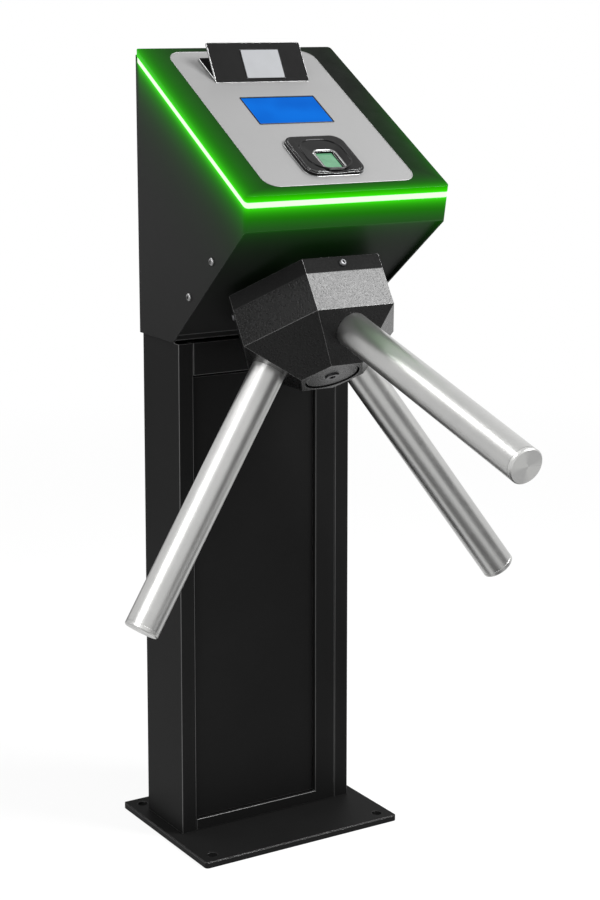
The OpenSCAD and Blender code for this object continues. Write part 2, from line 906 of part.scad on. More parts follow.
module lcd_module() {
    w = lcd_w + 2 * lcd_module_border;
    l = lcd_l + 2 * lcd_module_border;
    color(board_green)
    at_lid()
        translate([lcd_x - w / 2, -lcd_v - l / 2, -lid_sheet - lcd_module_t])
            cube([w, l, lcd_module_t]);
}

module fingerprint_bezel() {
    groove_mid = panel_rise + bezel_h + finger_groove_r - finger_groove;
    color(gloss_black)
    difference() {
        at_lid()
            translate([0, -bezel_v, panel_rise]) {
                linear_extrude(height = bezel_h - bezel_step / 2)
                    rounded(bezel_w, bezel_l, bezel_r);
                linear_extrude(height = bezel_h)
                    rounded(bezel_w - 2 * bezel_step, bezel_l - 2 * bezel_step, bezel_r - bezel_step);
            }
        // Finger groove down the middle
        at_lid()
            translate([0, -bezel_v - bezel_l / 2, groove_mid])
                rotate([90, 0, 0])
                    cylinder(r = finger_groove_r, h = bezel_l, center = true, $fn = 128);
        // Pocket for the window
        at_lid()
            translate([-finger_w / 2 - let_in, -bezel_v - finger_v - finger_l / 2 - let_in, panel_rise + finger_t])
                cube([finger_w + 2 * let_in, finger_l + 2 * let_in, bezel_h]);
    }
}

module fingerprint_glass() {
    color(glow_green)
    at_lid()
        translate([-finger_w / 2, -bezel_v - finger_v - finger_l / 2, panel_rise + finger_t])
            cube([finger_w, finger_l, finger_t]);
}

module fingerprint_module() {
    neck = finger_sensor - 2 * let_in;
    color(gloss_black)
    at_lid() {
        translate([-neck / 2, -bezel_v - neck / 2, -lid_sheet - over / 2])
            cube([neck, neck, lid_sheet + over / 2 + panel_rise]);
        translate([-finger_sensor * 5 / 8, -bezel_v - finger_sensor * 5 / 8, -lid_sheet - finger_sensor_d])
            cube([finger_sensor * 5 / 4, finger_sensor * 5 / 4, finger_sensor_d]);
    }
}

// Side view of the hood: distance up the slope from its fold, and height above the panel
hood_dir = [cos(hood_angle), sin(hood_angle)];
hood_under = [sin(hood_angle), -cos(hood_angle)];
hood_outline = [
    [0, 0],
    hood_plate * hood_dir,
    hood_plate * hood_dir + hood_t * hood_under,
    meet(hood_t * hood_under, hood_dir, [0, hood_t], [1, 0]),
    [hood_leg, hood_t],
    [hood_leg, 0]
];

module at_hood() {
    at_lid()
        translate([0, -hood_v, panel_rise])
            children();
}

module reader_hood() {
    color(gloss_black)
    at_hood()
        across(hood_w)
            polygon(hood_outline);
}

module reader_window() {
    color(pale_grey)
    at_hood()
        rotate([hood_angle, 0, 0])
            translate([window_x - window_w / 2, window_v, 0])
                cube([window_w, window_l, window_t]);
}

module reader_module() {
    color(board_green)
    at_hood()
        translate([-reader_w / 2, hood_leg - reader_l - over, hood_t])
            cube([reader_w, reader_l, reader_h]);
}

// A side bracket joins the mechanism plate to the housing's right side
bracket_front = 58;
bracket_back = 78;
bracket_low = 10;

module bracket() {
    color(dark_steel)
    difference() {
        intersection() {
            envelope([0, sheet, underside_inset + sheet + move_gap, 0, 0], sheet);
            difference() {
                at_hub()
                    block([0, -bracket_back, -plate_top], [lid_w, bracket_front, -bracket_low]);
                intersection() {
                    wedge(sheet + bracket_t);
                    at_hub()
                        block([-over, -far, -plate_top + plate_t + bracket_t], [lid_w, far, 0]);
                }
                intersection() {
                    wedge(sheet + bracket_t);
                    at_hub()
                        block([-over, -far, -far], [lid_w, far, plate_t - plate_top]);
                }
                at_hub()
                    block([-over, -far, -far], [column_w / 2 - bracket_flange, far, far]);
            }
        }
        side_screw_holes();
        plate_screw_holes();
    }
}

module left_bracket() {
    mirror([1, 0, 0])
        bracket();
}

module right_bracket() {
    bracket();
}

// Screws that hold the plate on the brackets' flanges
plate_screw_x = column_w / 2 - bracket_flange / 2 - over;
plate_screw_ys = [-bracket_back + 14, bracket_front - 14];

module plate_screw_holes() {
    at_hub()
        for (x = [-1, 1], y = plate_screw_ys)
            translate([x * plate_screw_x, y, 0])
                bar(screw_r, -plate_top - over, -plate_top + plate_t + bracket_t + over);
}

module plate_screws() {
    color(steel)
    at_hub()
        for (x = [-1, 1], y = plate_screw_ys)
            translate([x * plate_screw_x, y, -plate_top])
                rotate([180, 0, 0])
                    button_screw(plate_t + bracket_t);
}

// Screws that hold the bearing housing's flange on the plate
flange_screw_r = (bearing_housing_r + bearing_flange_r) / 2;
flange_screw_turns = [45, 135, 225, 315];

module flange_screw_holes() {
    for (turn = flange_screw_turns)
        rotate([0, 0, turn])
            translate([flange_screw_r, 0, 0])
                bar(screw_r, -plate_top - over, -plate_top + plate_t + bearing_flange_t + over);
}

module bearing_screws() {
    color(steel)
    at_hub()
        for (turn = flange_screw_turns)
            rotate([0, 0, turn])
                translate([flange_screw_r, 0, plate_t + bearing_flange_t - plate_top])
                    button_screw(plate_t + bearing_flange_t);
}

module mechanism_plate() {
    color(steel)
    difference() {
        intersection() {
            wedge(sheet + bracket_t);
            at_hub()
                block([-lid_w, -plate_back, -plate_top], [lid_w, plate_front, plate_t - plate_top]);
        }
        at_hub() {
            bar(bearing_housing_r, -plate_top - over, plate_t - plate_top + over);
            flange_screw_holes();
        }
        plate_screw_holes();
    }
}

module bearing_housing() {
    flange_start = plate_t - plate_top;
    color(cast_grey)
    at_hub()
        difference() {
            union() {
                bar(bearing_housing_r, housing_head, nose_end);
                bar(bearing_flange_r, flange_start, flange_start + bearing_flange_t);
            }
            bar(bearing_r - bearing_shoulder, housing_head - over, nose_end + over);
            bar(bearing_r, lower_bearing_end - bearing_w, nose_end + over);
            bar(bearing_r, housing_head - over, upper_bearing_start + bearing_w);
            flange_screw_holes();
        }
}

// A ball bearing with its shields, from a place along the hub's axis
module ball_bearing(start) {
    shield = 1;
    ring = 4;
    inner = shaft_r + run_fit;
    difference() {
        bar(bearing_r, start, start + bearing_w);
        bar(inner, start - over, start + bearing_w + over);
        for (face = [start - over, start + bearing_w - shield])
            difference() {
                bar(bearing_r - ring, face, face + shield + over);
                bar(inner + ring, face - over, face + shield + 2 * over);
            }
    }
}

module lower_bearing() {
    color(steel)
    at_hub()
        ball_bearing(lower_bearing_end - bearing_w);
}

module upper_bearing() {
    color(steel)
    at_hub()
        ball_bearing(upper_bearing_start);
}

bolt_r = 6;
bolt_depth = 22;
bolt_head_r = 9;
bolt_head_h = 5;
bolt_sink = 3;
cap_end = core_end + end_cap_t;

module main_shaft() {
    color(steel)
    at_hub()
        difference() {
            union() {
                bar(shaft_r, shaft_start - nut_h / 5, core_end - over);
                bar(shaft_collar_r, collar_top, core_top);
            }
            bar(bolt_r, core_end - bolt_depth, core_end);
        }
}

module shaft_nut() {
    color(dark_steel)
    at_hub()
        difference() {
            translate([0, 0, shaft_start])
                cylinder(r = nut_r, h = nut_h, $fn = 6);
            bar(shaft_r, shaft_start - over, gear_start + over);
        }
}

module lock_disc() {
    holes = 6;
    hole_r = 9;
    hole_place = (disc_r + disc_boss_r) / 2 - 2;
    color(dark_steel)
    at_hub()
        difference() {
            union() {
                bar(disc_r, disc_start, disc_end);
                bar(disc_boss_r, disc_start, housing_head - move_gap);
            }
            bar(shaft_r, disc_start - over, housing_head + over);
            for (i = [0 : notches - 1])
                rotate([0, 0, i * 360 / notches])
                    translate([0, 0, disc_start - over])
                        linear_extrude(height = disc_t + 2 * over)
                            polygon([
                                [disc_r - notch_d, -notch_w / 2], [disc_r + over, -notch_mouth / 2],
                                [disc_r + over, notch_mouth / 2], [disc_r - notch_d, notch_w / 2]
                            ]);
            for (i = [0 : holes - 1])
                rotate([0, 0, (i + 0.25) * 360 / holes])
                    translate([hole_place, 0, 0])
                        bar(hole_r, disc_start - over, disc_end + over);
        }
}

module drive_gear() {
    color(brass_yellow)
    at_hub()
        difference() {
            union() {
                translate([0, 0, gear_start])
                    linear_extrude(height = gear_w)
                        polygon(gear_outline(gear_teeth));
                bar(disc_boss_r, gear_start, disc_start);
            }
            bar(shaft_r, gear_start - over, disc_start + over);
        }
}

module damper_body() {
    color(gloss_black)
    at_hub()
        translate([0, damper_y, 0])
            difference() {
                bar(damper_r, -plate_top - damper_h, -plate_top);
                bar(damper_shaft_r + run_fit, -plate_top - damper_h - over, -plate_top - damper_h / 2);
            }
}

module damper_pinion() {
    color(steel)
    at_hub()
        translate([0, damper_y, 0])
            rotate([0, 0, 180 / pinion_teeth]) {
                translate([0, 0, gear_start])
                    linear_extrude(height = gear_w)
                        polygon(gear_outline(pinion_teeth));
                bar(damper_shaft_r, gear_start - over, -plate_top - damper_h * 2 / 3);
            }
}

// Plan of the right pawl about its pivot, as it stands with its tooth in a notch
pawl_tip = disc_r - pawl_bite - pawl_x;
pawl_root = disc_r + 4 - pawl_x;
pawl_hub_r = 10;

module pawl_plan() {
    half = pawl_tooth_w / 2;
    heel = half + 2;
    union() {
        circle(r = pawl_hub_r);
        polygon([
            [-pawl_hub_r * 0.7, 0], [pawl_root, heel - pawl_y], [pawl_tip, half - pawl_y],
            [pawl_tip, -half - pawl_y], [pawl_root, -heel - pawl_y],
            [pawl_root + 3 * half, -heel - pawl_y], [pawl_hub_r * 0.8, 0]
        ]);
        rotate(-rest_swing)
            polygon([[-pawl_hub_r * 0.8, 0], [pawl_hub_r * 0.8, 0], [tail_knob_r * 0.8, tail_l], [-tail_knob_r * 0.8, tail_l]]);
        rotate(-rest_swing)
            translate([0, tail_l])
                circle(r = tail_knob_r);
    }
}

module pawl() {
    at_hub()
        translate([pawl_x, pawl_y, disc_start])
            rotate([0, 0, pawl_swing])
                difference() {
                    linear_extrude(height = disc_t)
                        pawl_plan();
                    bar(pawl_pin_r + run_fit, -over, disc_t + over);
                }
}

module left_pawl() {
    color(dark_steel)
    mirror([1, 0, 0])
        pawl();
}

module right_pawl() {
    color(dark_steel)
    pawl();
}

pin_sleeve_r = 7;
clip_t = 1.5;

module pawl_pins() {
    color(steel)
    at_hub()
        for (x = [-pawl_x, pawl_x])
            translate([x, pawl_y, 0]) {
                bar(pin_sleeve_r, disc_end + move_gap, -plate_top);
                bar(pawl_pin_r, disc_start - move_gap - 2 * clip_t, disc_end + move_gap + over);
            }
}

module pawl_clips() {
    color(dark_steel)
    at_hub()
        for (x = [-pawl_x, pawl_x])
            translate([x, pawl_y, disc_start - move_gap - clip_t])
                difference() {
                    bar(pin_sleeve_r, 0, clip_t);
                    bar(pawl_pin_r, -over, clip_t + over);
                }
}

// A solenoid with its coil between two end plates, on a foot that stands on the plate
module solenoid() {
    end_t = 3;
    low = disc_mid - solenoid_h / 2;
    high = disc_mid + solenoid_h / 2;
    difference() {
        union() {
            translate([solenoid_x, plunger_y, disc_mid])
                rotate([0, 90, 0])
                    cylinder(d = solenoid_h - 2, h = solenoid_l);
            for (x = [solenoid_x, solenoid_x + solenoid_l - end_t])
                block([x, plunger_y - solenoid_h / 2, low], [x + end_t, plunger_y + solenoid_h / 2, high]);
            block([solenoid_x, plunger_y - solenoid_h / 2, high - 2 * end_t],
                  [solenoid_x + solenoid_l, plunger_y + solenoid_h / 2, -plate_top]);
        }
        translate([solenoid_x + end_t, plunger_y, disc_mid])
            rotate([0, 90, 0])
                cylinder(r = plunger_r + run_fit, h = solenoid_l);
    }
}

module left_solenoid() {
    color(brass_yellow)
    mirror([1, 0, 0])
        at_hub()
            solenoid();
}

module right_solenoid() {
    color(brass_yellow)
    at_hub()
        solenoid();
}

// A plunger with two collars that hold the pawl's tail between them
module plunger() {
    inner_end = solenoid_x + solenoid_l / 3;
    outer_end = tail_rest_x + collar_gap + plunger_collar_t;
    translate([0, plunger_y, disc_mid])
        rotate([0, 90, 0])
            union() {
                bar(plunger_r, inner_end, outer_end + over);
                bar(plunger_collar_r, outer_end - plunger_collar_t, outer_end);
                bar(plunger_collar_r, tail_rest_x - collar_gap - plunger_collar_t, tail_rest_x - collar_gap);
            }
}

module left_plunger() {
    color(steel)
    mirror([1, 0, 0])
        at_hub()
            plunger();
}

module right_plunger() {
    color(steel)
    at_hub()
        plunger();
}

// An optical fork that straddles the lock disc's rim
module position_sensor() {
    turn = 228;
    arm_in = disc_r - 9;
    web_in = disc_r + 4;
    web_out = disc_r + 16;
    half = 8;
    slot = 2.5;
    arm_t = 3;
    color(gloss_black)
    at_hub()
        rotate([0, 0, turn])
            union() {
                block([web_in, -half, disc_start - slot - arm_t], [web_out, half, -plate_top]);
                block([arm_in, -half, disc_start - slot - arm_t], [web_out, half, disc_start - slot]);
                block([arm_in, -half, disc_end + slot], [web_out, half, disc_end + slot + arm_t]);
            }
}

hub_screw_z = hub_top + 9;
hub_screw_turns = [0, 120, 240];

module hub_screw_holes() {
    for (turn = hub_screw_turns)
        rotate([0, 0, turn])
            translate([0, hub_flat, hub_screw_z])
                rotate([-90, 0, 0])
                    bar(screw_r, -hub_wall - 2 * screw_r - over, over);
}

module hub_shell() {
    color(black_powder)
    difference() {
        at_hub()
            difference() {
                hexagonal(hub_outline);
                hexagonal(inset(hub_outline, [-over, hub_wall, hub_wall, hub_end_wall, hub_wall, hub_wall]));
                bar(hub_mouth_r, hub_edge, hub_end + over);
                hub_screw_holes();
            }
        for (turn = hub_screw_turns)
            at_arm(turn)
                bar(arm_r + let_in, arm_seat, arm_reach);
    }
}

module hub_core() {
    color(cast_grey)
    difference() {
        union() {
            at_hub() {
                bar(core_r, core_top, core_end);
                bar(core_flange_r, core_top, core_top + core_flange_t);
            }
            for (turn = hub_screw_turns)
                at_arm(turn)
                    bar(arm_r + socket_wall, socket_start, socket_end);
        }
        for (turn = hub_screw_turns)
            at_arm(turn)
                bar(arm_r, arm_seat, socket_end + over);
        at_hub()
            bar(shaft_r, core_top - over, core_end + over);
    }
}

module hub_back_plate() {
    lug_in = back_plate_flat - 2 * screw_r - hub_wall;
    lug_half = 9;
    color(black_powder)
    at_hub()
        difference() {
            union() {
                translate([0, 0, core_top - back_plate_t])
                    cylinder(r = back_plate_flat / cos(30), h = back_plate_t, $fn = 6);
                for (turn = hub_screw_turns)
                    rotate([0, 0, turn])
                        block([-lug_half, lug_in, core_top - over],
                              [lug_half, back_plate_flat, hub_screw_z + 2 * screw_r]);
            }
            bar(shaft_collar_r + over, hub_top - over, core_top + over);
            hub_screw_holes();
        }
}

module hub_end_cap() {
    color(black_powder)
    at_hub()
        difference() {
            bar(end_cap_r, core_end, cap_end);
            bar(bolt_r, core_end - over, cap_end + over);
            bar(bolt_head_r + let_in, cap_end - bolt_sink, cap_end + over);
        }
}

module centre_bolt() {
    head_start = cap_end - bolt_sink;
    color(steel)
    at_hub()
        difference() {
            union() {
                bar(bolt_r, core_end - bolt_depth + over, head_start + over);
                bar(bolt_head_r, head_start, head_start + bolt_head_h);
            }
            translate([0, 0, head_start + bolt_head_h / 3])
                cylinder(r = bolt_head_r / 2, h = bolt_head_h, $fn = 6);
        }
}

module hub_screws() {
    color(steel)
    at_hub()
        for (turn = hub_screw_turns)
            rotate([0, 0, turn])
                translate([0, hub_flat, hub_screw_z])
                    rotate([-90, 0, 0])
                        button_screw(hub_wall + 2 * screw_r);
}

module arm_tube(turn) {
    color(steel)
    at_arm(turn)
        difference() {
            bar(arm_r, arm_seat, arm_end);
            bar(arm_r - arm_wall, arm_seat - over, arm_end + over);
        }
}

module front_arm() {
    arm_tube(0);
}

module left_arm() {
    arm_tube(120);
}

module right_arm() {
    arm_tube(240);
}

module arm_caps() {
    color(steel)
    for (turn = hub_screw_turns)
        at_arm(turn)
            union() {
                bar(arm_r - arm_wall, arm_end - arm_plug_l, arm_end + over);
                bar(arm_r, arm_end, arm_reach - arm_cap_chamfer);
                translate([0, 0, arm_reach - arm_cap_chamfer])
                    cylinder(r1 = arm_r, r2 = arm_r - arm_cap_chamfer, h = arm_cap_chamfer);
            }
}

module side_screws() {
    color(steel)
    for (p = side_screw_places, side = [0, 1])
        mirror([side, 0, 0])
            on_side(p)
                button_screw(sheet + bracket_t);
}

base_plate();
base_collar();
column_shell();
front_frame();
access_cover();
mounting_plate();
board_spacers();
control_board();
power_supply();
housing_shell();
underside_panel();
housing_shims();
lid();
led_diffuser();
led_strip();
control_panel();
lcd_glass();
lcd_module();
fingerprint_bezel();
fingerprint_glass();
fingerprint_module();
reader_hood();
reader_window();
reader_module();
left_bracket();
right_bracket();
mechanism_plate();
bearing_housing();
lower_bearing();
upper_bearing();
main_shaft();
shaft_nut();
lock_disc();
drive_gear();
damper_body();
damper_pinion();
left_pawl();
right_pawl();
pawl_pins();
pawl_clips();
left_solenoid();
right_solenoid();
left_plunger();
right_plunger();
position_sensor();
hub_shell();
hub_core();
hub_back_plate();
hub_end_cap();
centre_bolt();
front_arm();
left_arm();
right_arm();
arm_caps();
side_screws();
hub_screws();
bearing_screws();
plate_screws();
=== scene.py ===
# %% [markdown]
# A column turnstile with three arms
#
# The construction is finished and comes in as a fixed frame. This lesson gives each piece its finish,
# softens the edges that catch the light, and makes anew the pieces that need more than a plain solid.
# Everything is in metres.

# %% Load the frame
import json
import math

import bmesh
import bpy
from mathutils import Matrix, Vector

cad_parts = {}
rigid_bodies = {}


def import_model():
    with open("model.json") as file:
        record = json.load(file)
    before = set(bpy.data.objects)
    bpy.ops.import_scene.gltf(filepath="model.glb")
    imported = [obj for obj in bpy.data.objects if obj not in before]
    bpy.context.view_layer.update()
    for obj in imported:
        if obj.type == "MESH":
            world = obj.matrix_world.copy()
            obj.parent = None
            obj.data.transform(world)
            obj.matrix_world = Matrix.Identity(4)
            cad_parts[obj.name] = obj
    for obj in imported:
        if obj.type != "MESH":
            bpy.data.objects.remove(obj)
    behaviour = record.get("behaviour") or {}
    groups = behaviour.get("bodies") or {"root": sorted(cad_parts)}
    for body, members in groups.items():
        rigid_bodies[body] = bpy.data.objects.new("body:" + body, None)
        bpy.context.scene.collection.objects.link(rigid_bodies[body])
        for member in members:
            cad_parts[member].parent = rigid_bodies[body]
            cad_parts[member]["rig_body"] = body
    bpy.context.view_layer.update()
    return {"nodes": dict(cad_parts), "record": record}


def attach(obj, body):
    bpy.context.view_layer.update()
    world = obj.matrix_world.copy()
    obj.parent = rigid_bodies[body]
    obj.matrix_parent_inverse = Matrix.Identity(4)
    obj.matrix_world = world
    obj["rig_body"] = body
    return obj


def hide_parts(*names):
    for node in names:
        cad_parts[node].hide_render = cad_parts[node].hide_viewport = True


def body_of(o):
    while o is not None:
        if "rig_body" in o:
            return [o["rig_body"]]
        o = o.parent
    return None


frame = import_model()
slot_of = {part["node"]: part["material_slot"] for part in frame["record"]["subparts"]}


def rounded(values, digits=3):
    """Numbers cut short for printing."""
    return [round(value, digits) for value in values]


# %% [markdown]
# Measures that several steps share. The lid has its own frame, down its slope and below its face, and so
# has the hub, along its tilted axis. A finish that follows the light strip needs the first, and the arms
# need the second. The housing's back wall stands further back lower down, and its sides lean in as they
# leave the lid. Each lean is given per metre.

# %% Measures of the lid and the hub
RIGHT = Vector((1, 0, 0))
LID_SLOPE = math.radians(31.22)
LID_BACK = Vector((0, 0.0556, 1.050))
LID_LENGTH = 0.3289
LID_HALF = 0.149
STRIP_TOP = 0.0069
STRIP_HEIGHT = 0.0064
BACK_LEAN = 0.0689
SIDE_LEAN = 0.0455
HUB_TILT = math.radians(32)
HUB_PLACE = Vector((0, -0.1188, 0.7482))
hub_out = Vector((0, -math.sin(HUB_TILT), -math.cos(HUB_TILT)))
hub_up = Vector((0, -math.cos(HUB_TILT), math.sin(HUB_TILT)))
lid_out = Vector((0, -math.sin(LID_SLOPE), math.cos(LID_SLOPE)))
lid_up = Vector((0, math.cos(LID_SLOPE), math.sin(LID_SLOPE)))


def lid_point(x, down, out=0.0):
    """A point by its place across the lid, down its slope and out of its face."""
    return LID_BACK + RIGHT * x - lid_up * down + lid_out * out


print("hub axis:", rounded(hub_out, 4), "lid front edge:", rounded(lid_point(0, LID_LENGTH), 4))

# %% [markdown]
# Shader maths reads best as plain sums. A Reading wraps one output socket, so that `1 - mask * 0.4` adds
# the Math nodes by itself. A Finish is one material, and its node method adds any other node: its type, its
# settings, and what goes into its sockets. The surroundings are made of nodes too, so a Finish can also be
# a world.


# %% Sums with sockets
class Reading:
    """One output socket that can be used in a sum."""

    def __init__(self, finish, socket):
        self.finish = finish
        self.socket = socket

    def maths(self, operation, *values):
        """A Math node on some values, or on this reading alone."""
        sockets = dict(enumerate(values or (self,)))
        return self.finish.node("ShaderNodeMath", {"operation": operation}, sockets)

    def __add__(self, other):
        return self.maths("ADD", self, other)

    def __sub__(self, other):
        return self.maths("SUBTRACT", self, other)

    def __rsub__(self, other):
        return self.maths("SUBTRACT", other, self)

    def __mul__(self, other):
        return self.maths("MULTIPLY", self, other)

    def __truediv__(self, other):
        return self.maths("DIVIDE", self, other)

    def __neg__(self):
        return self.maths("MULTIPLY", self, -1.0)

    def __abs__(self):
        return self.maths("ABSOLUTE")

    def most(self, other):
        return self.maths("MAXIMUM", self, other)

    def fade(self, length):
        """1 where this reading is 0, and less with each length."""
        return (-self.most(0.0) / length).maths("EXPONENT")

    __radd__ = __add__
    __rmul__ = __mul__


class Finish:
    """The nodes of one material or world, built a node at a time."""

    def __init__(self, name, kind="materials"):
        self.owner = getattr(bpy.data, kind).new(name)
        self.owner.use_nodes = True
        self.tree = self.owner.node_tree
        self.tree.nodes.clear()
        self.place = self.node("ShaderNodeTexCoord", output="Object")

    def node(self, kind, settings=None, values=None, output=0):
        """A node with its settings and sockets, as the reading of one output or of several."""
        made = self.tree.nodes.new(kind)
        for key, value in (settings or {}).items():
            setattr(made, key, value)
        for key, value in (values or {}).items():
            socket = made.inputs[key] if isinstance(key, int) else self.find(made, key)
            if isinstance(value, Reading):
                self.tree.links.new(value.socket, socket)
            else:
                socket.default_value = value
        if isinstance(output, tuple):
            return [Reading(self, made.outputs[key]) for key in output]
        return Reading(self, made.outputs[output])

    @staticmethod
    def find(made, key):
        return next(s for s in made.inputs if key in (s.identifier, s.name) and s.enabled)

    def noise(self, size, detail=2.0, place=None, rough=0.5):
        """Cloudy noise from 0 to 1 whose spots are about size metres wide."""
        return self.node("ShaderNodeTexNoise", {}, {
            "Vector": place or self.place, "Scale": 1.0 / size, "Detail": detail, "Roughness": rough})

    def spread(self, value, low, high, to_low=0.0, to_high=1.0):
        """A reading from low to high spread over another range and held at its ends."""
        return self.node("ShaderNodeMapRange", {}, {
            "Value": value, "From Min": low, "From Max": high, "To Min": to_low, "To Max": to_high})

    def between(self, factor, low, high):
        """A colour between two colours."""
        return self.node("ShaderNodeMix", {"data_type": "RGBA"}, {
            "Factor_Float": factor, "A_Color": low, "B_Color": high}, output=2)

    def bump(self, height, depth):
        return self.node("ShaderNodeBump", {}, {"Height": height, "Distance": depth, "Strength": 1.0})

    def parts(self, vector=None):
        """The X, Y and Z of a place."""
        return self.node("ShaderNodeSeparateXYZ", {}, {0: vector or self.place}, output=(0, 1, 2))

    def surface(self, **values):
        """The surface itself. A name such as base_color stands for the socket Base Color."""
        names = {key: key.replace("_", " ").title().replace("Ior", "IOR") for key in values}
        shader = self.node("ShaderNodeBsdfPrincipled", {}, {names[key]: values[key] for key in values})
        return self.end(shader)

    def end(self, shader, kind="ShaderNodeOutputMaterial"):
        """Joins the last shader to the output, and gives back the material or world."""
        out = self.tree.nodes.new(kind)
        self.tree.links.new(shader.socket, out.inputs["Surface"])
        return self.owner


def grey(level, alpha=1.0):
    return (level, level, level, alpha)


print("sums with sockets are ready")

# %% [markdown]
# The light strip colours what is beside it. On the real turnstile the glow is strongest at the strip and is
# gone a few centimetres away. Lamps along a strip that is 6 mm high would leave the render noisy, and the
# glow would be lost in an exported model, so it is worked out from the place on the surface: how deep below
# the lid, or how far in from its edge. A glow is a sum of fades, each with the length over which it falls
# and the strength that it starts with.


# %% Places in the lid's frame
def lid_readings(finish):
    """How far a place is down the lid's slope, below its face, and in from its side, in metres."""
    x, y, z = finish.parts()
    down = (LID_BACK.y - y) * math.cos(LID_SLOPE) + (LID_BACK.z - z) * math.sin(LID_SLOPE)
    depth = (y - LID_BACK.y) * math.sin(LID_SLOPE) + (LID_BACK.z - z) * math.cos(LID_SLOPE)
    return down, depth, LID_HALF - abs(x)


print("the lid is", rounded((LID_HALF * 2, LID_LENGTH)), "m wide and long")

# %% The strip's glow
WALL_FADES = ((0.0035, 0.45), (0.013, 0.34), (0.035, 0.05))
LID_SIDE_FADES = ((0.0065, 0.72), (0.045, 0.18))
LID_FRONT_FADES = ((0.0065, 0.80), (0.028, 0.11))
GLOW = (0.05, 1.0, 0.002, 1.0)
# Where the glow is above a sixth, nothing is left of the coat's own grey
GREY_GONE = 6.0


def wall_glow(finish):
    """Glow on the walls below the strip. The back wall has no strip, so it has no glow."""
    _, depth, _ = lid_readings(finish)
    _, y, z = finish.parts()
    before_back = (LID_BACK.z - z) * BACK_LEAN + LID_BACK.y - y
    below = depth - STRIP_TOP - STRIP_HEIGHT
    fall = sum(below.fade(length) * start for length, start in WALL_FADES)
    return fall * finish.spread(before_back, 0.001, 0.012)


def lid_fades(away, climb, fades):
    """A narrow fade that goes on down the lid's edge, and a broad one over its face."""
    (narrow, narrow_start), (broad, broad_start) = fades
    return (away + climb).fade(narrow) * narrow_start + away.fade(broad) * broad_start


def lid_glow(finish):
    """Glow on the lid, from its sides and its front edge. The right side is turned away, so less shows."""
    down, depth, side = lid_readings(finish)
    x, _, _ = finish.parts()
    climb = STRIP_TOP - depth
    front = (LID_LENGTH - down).most(0.0)
    left_share = finish.spread(x, -0.04, 0.12, 1.0, 0.0)
    low_share = finish.spread(down, 0.10, LID_LENGTH, 0.03, 0.32)
    sideways = lid_fades(side, climb, LID_SIDE_FADES) * left_share.most(low_share)
    return sideways.most(lid_fades(front, climb, LID_FRONT_FADES))


def lit_by_strip(finish, values, glow):
    """Adds the strip's glow. A camera sees pure green beside the strip, so the coat's grey gives way."""
    shine = glow(finish)
    values["base_color"] = finish.between(shine * GREY_GONE, values["base_color"], grey(0.0))
    values["emission_color"] = finish.between(shine, grey(0.0), GLOW)
    values["emission_strength"] = 1.0


print("the glow starts", round((STRIP_TOP + STRIP_HEIGHT) * 1000, 1), "mm below the lid")

# %% [markdown]
# Most sheets wear a matte black powder coat. Powder melts into a skin of tiny beads, so it is a fine grain
# in the bump and a faint one in the colour and roughness, with broad, slow changes over it where hands and
# the oven leave them. The hub's coat has coarser beads. Where the hub meets the housing, painted shade
# darkens its colour as the housing's shadow would, and the coat is rougher there too.


# %% Powder coats
FINE_BEAD = 0.0011
COARSE_BEAD = 0.0024
CLOUD = 0.12
# Along the hub's axis, where its painted shade fades out
SHADE_BAND_START, SHADE_BAND_END = 0.0222, 0.0234


def powder_coat(name, level, bead, depth, rough, sheen, glow=None, shade_and_dull=None):
    finish = Finish(name)
    beads = finish.noise(bead, 3.0)
    cloud = finish.noise(CLOUD, 3.0)
    tone = beads * 0.5 + cloud * 0.5
    values = {
        "base_color": finish.between(tone, grey(level * 0.65), grey(level * 1.45)),
        "roughness": finish.spread(beads * 0.7 + cloud * 0.3, 0.3, 0.7, rough - 0.07, rough + 0.07),
        "specular_ior_level": sheen,
        "normal": finish.bump(beads, depth),
    }
    # Painted shade: where the housing's shadow falls on the hub the colour is darkened; the coat is rougher
    # too
    if shade_and_dull:
        shade_band = shade_and_dull(finish)
        values["base_color"] = finish.between(shade_band, values["base_color"], grey(level * 0.3))
        values["roughness"] = values["roughness"] + shade_band * 0.6
    if glow:
        lit_by_strip(finish, values, glow)
    return finish.surface(**values)


def hub_shade_band(finish):
    """1 on the hub's first centimetres by the housing: painted shade darkens the coat, which is rougher."""
    _, y, z = finish.parts()
    along = (y - HUB_PLACE.y) * hub_out.y + (z - HUB_PLACE.z) * hub_out.z
    return finish.spread(along, SHADE_BAND_START, SHADE_BAND_END, 1.0, 0.0)


# Each _edge coat goes on rounded edges: glossier, and lighter in colour than its coat, as a painted
# highlight
fine_black = powder_coat("fine_black_powder", 0.006, FINE_BEAD, 0.00008, 0.52, 0.045)
fine_edge = powder_coat("fine_black_powder_edge", 0.030, FINE_BEAD, 0.00004, 0.34, 0.80)
wall_black = powder_coat("housing_black_powder", 0.009, FINE_BEAD, 0.00008, 0.50, 0.05, glow=wall_glow)
wall_edge = powder_coat("housing_black_powder_edge", 0.024, FINE_BEAD, 0.00004, 0.34, 0.60, glow=wall_glow)
coarse_black = powder_coat("coarse_black_powder", 0.005, COARSE_BEAD, 0.00046, 0.29, 0.20, shade_and_dull=hub_shade_band)
coarse_edge = powder_coat("coarse_black_powder_edge", 0.08, COARSE_BEAD, 0.0002, 0.32, 1.0)
print("powder coats:", fine_black.name, wall_black.name, coarse_black.name)

# %% [markdown]
# The lid, the hood and the reader's bezel are polished black. Polish is a low roughness, but a real sheet
# still has a slow waviness that bends its reflections, and a few dull smears. The lid also takes the
# strip's glow.


# %% Polished black
WAVE = 0.06
WAVE_DEPTH = 0.0004
SMEAR = 0.018


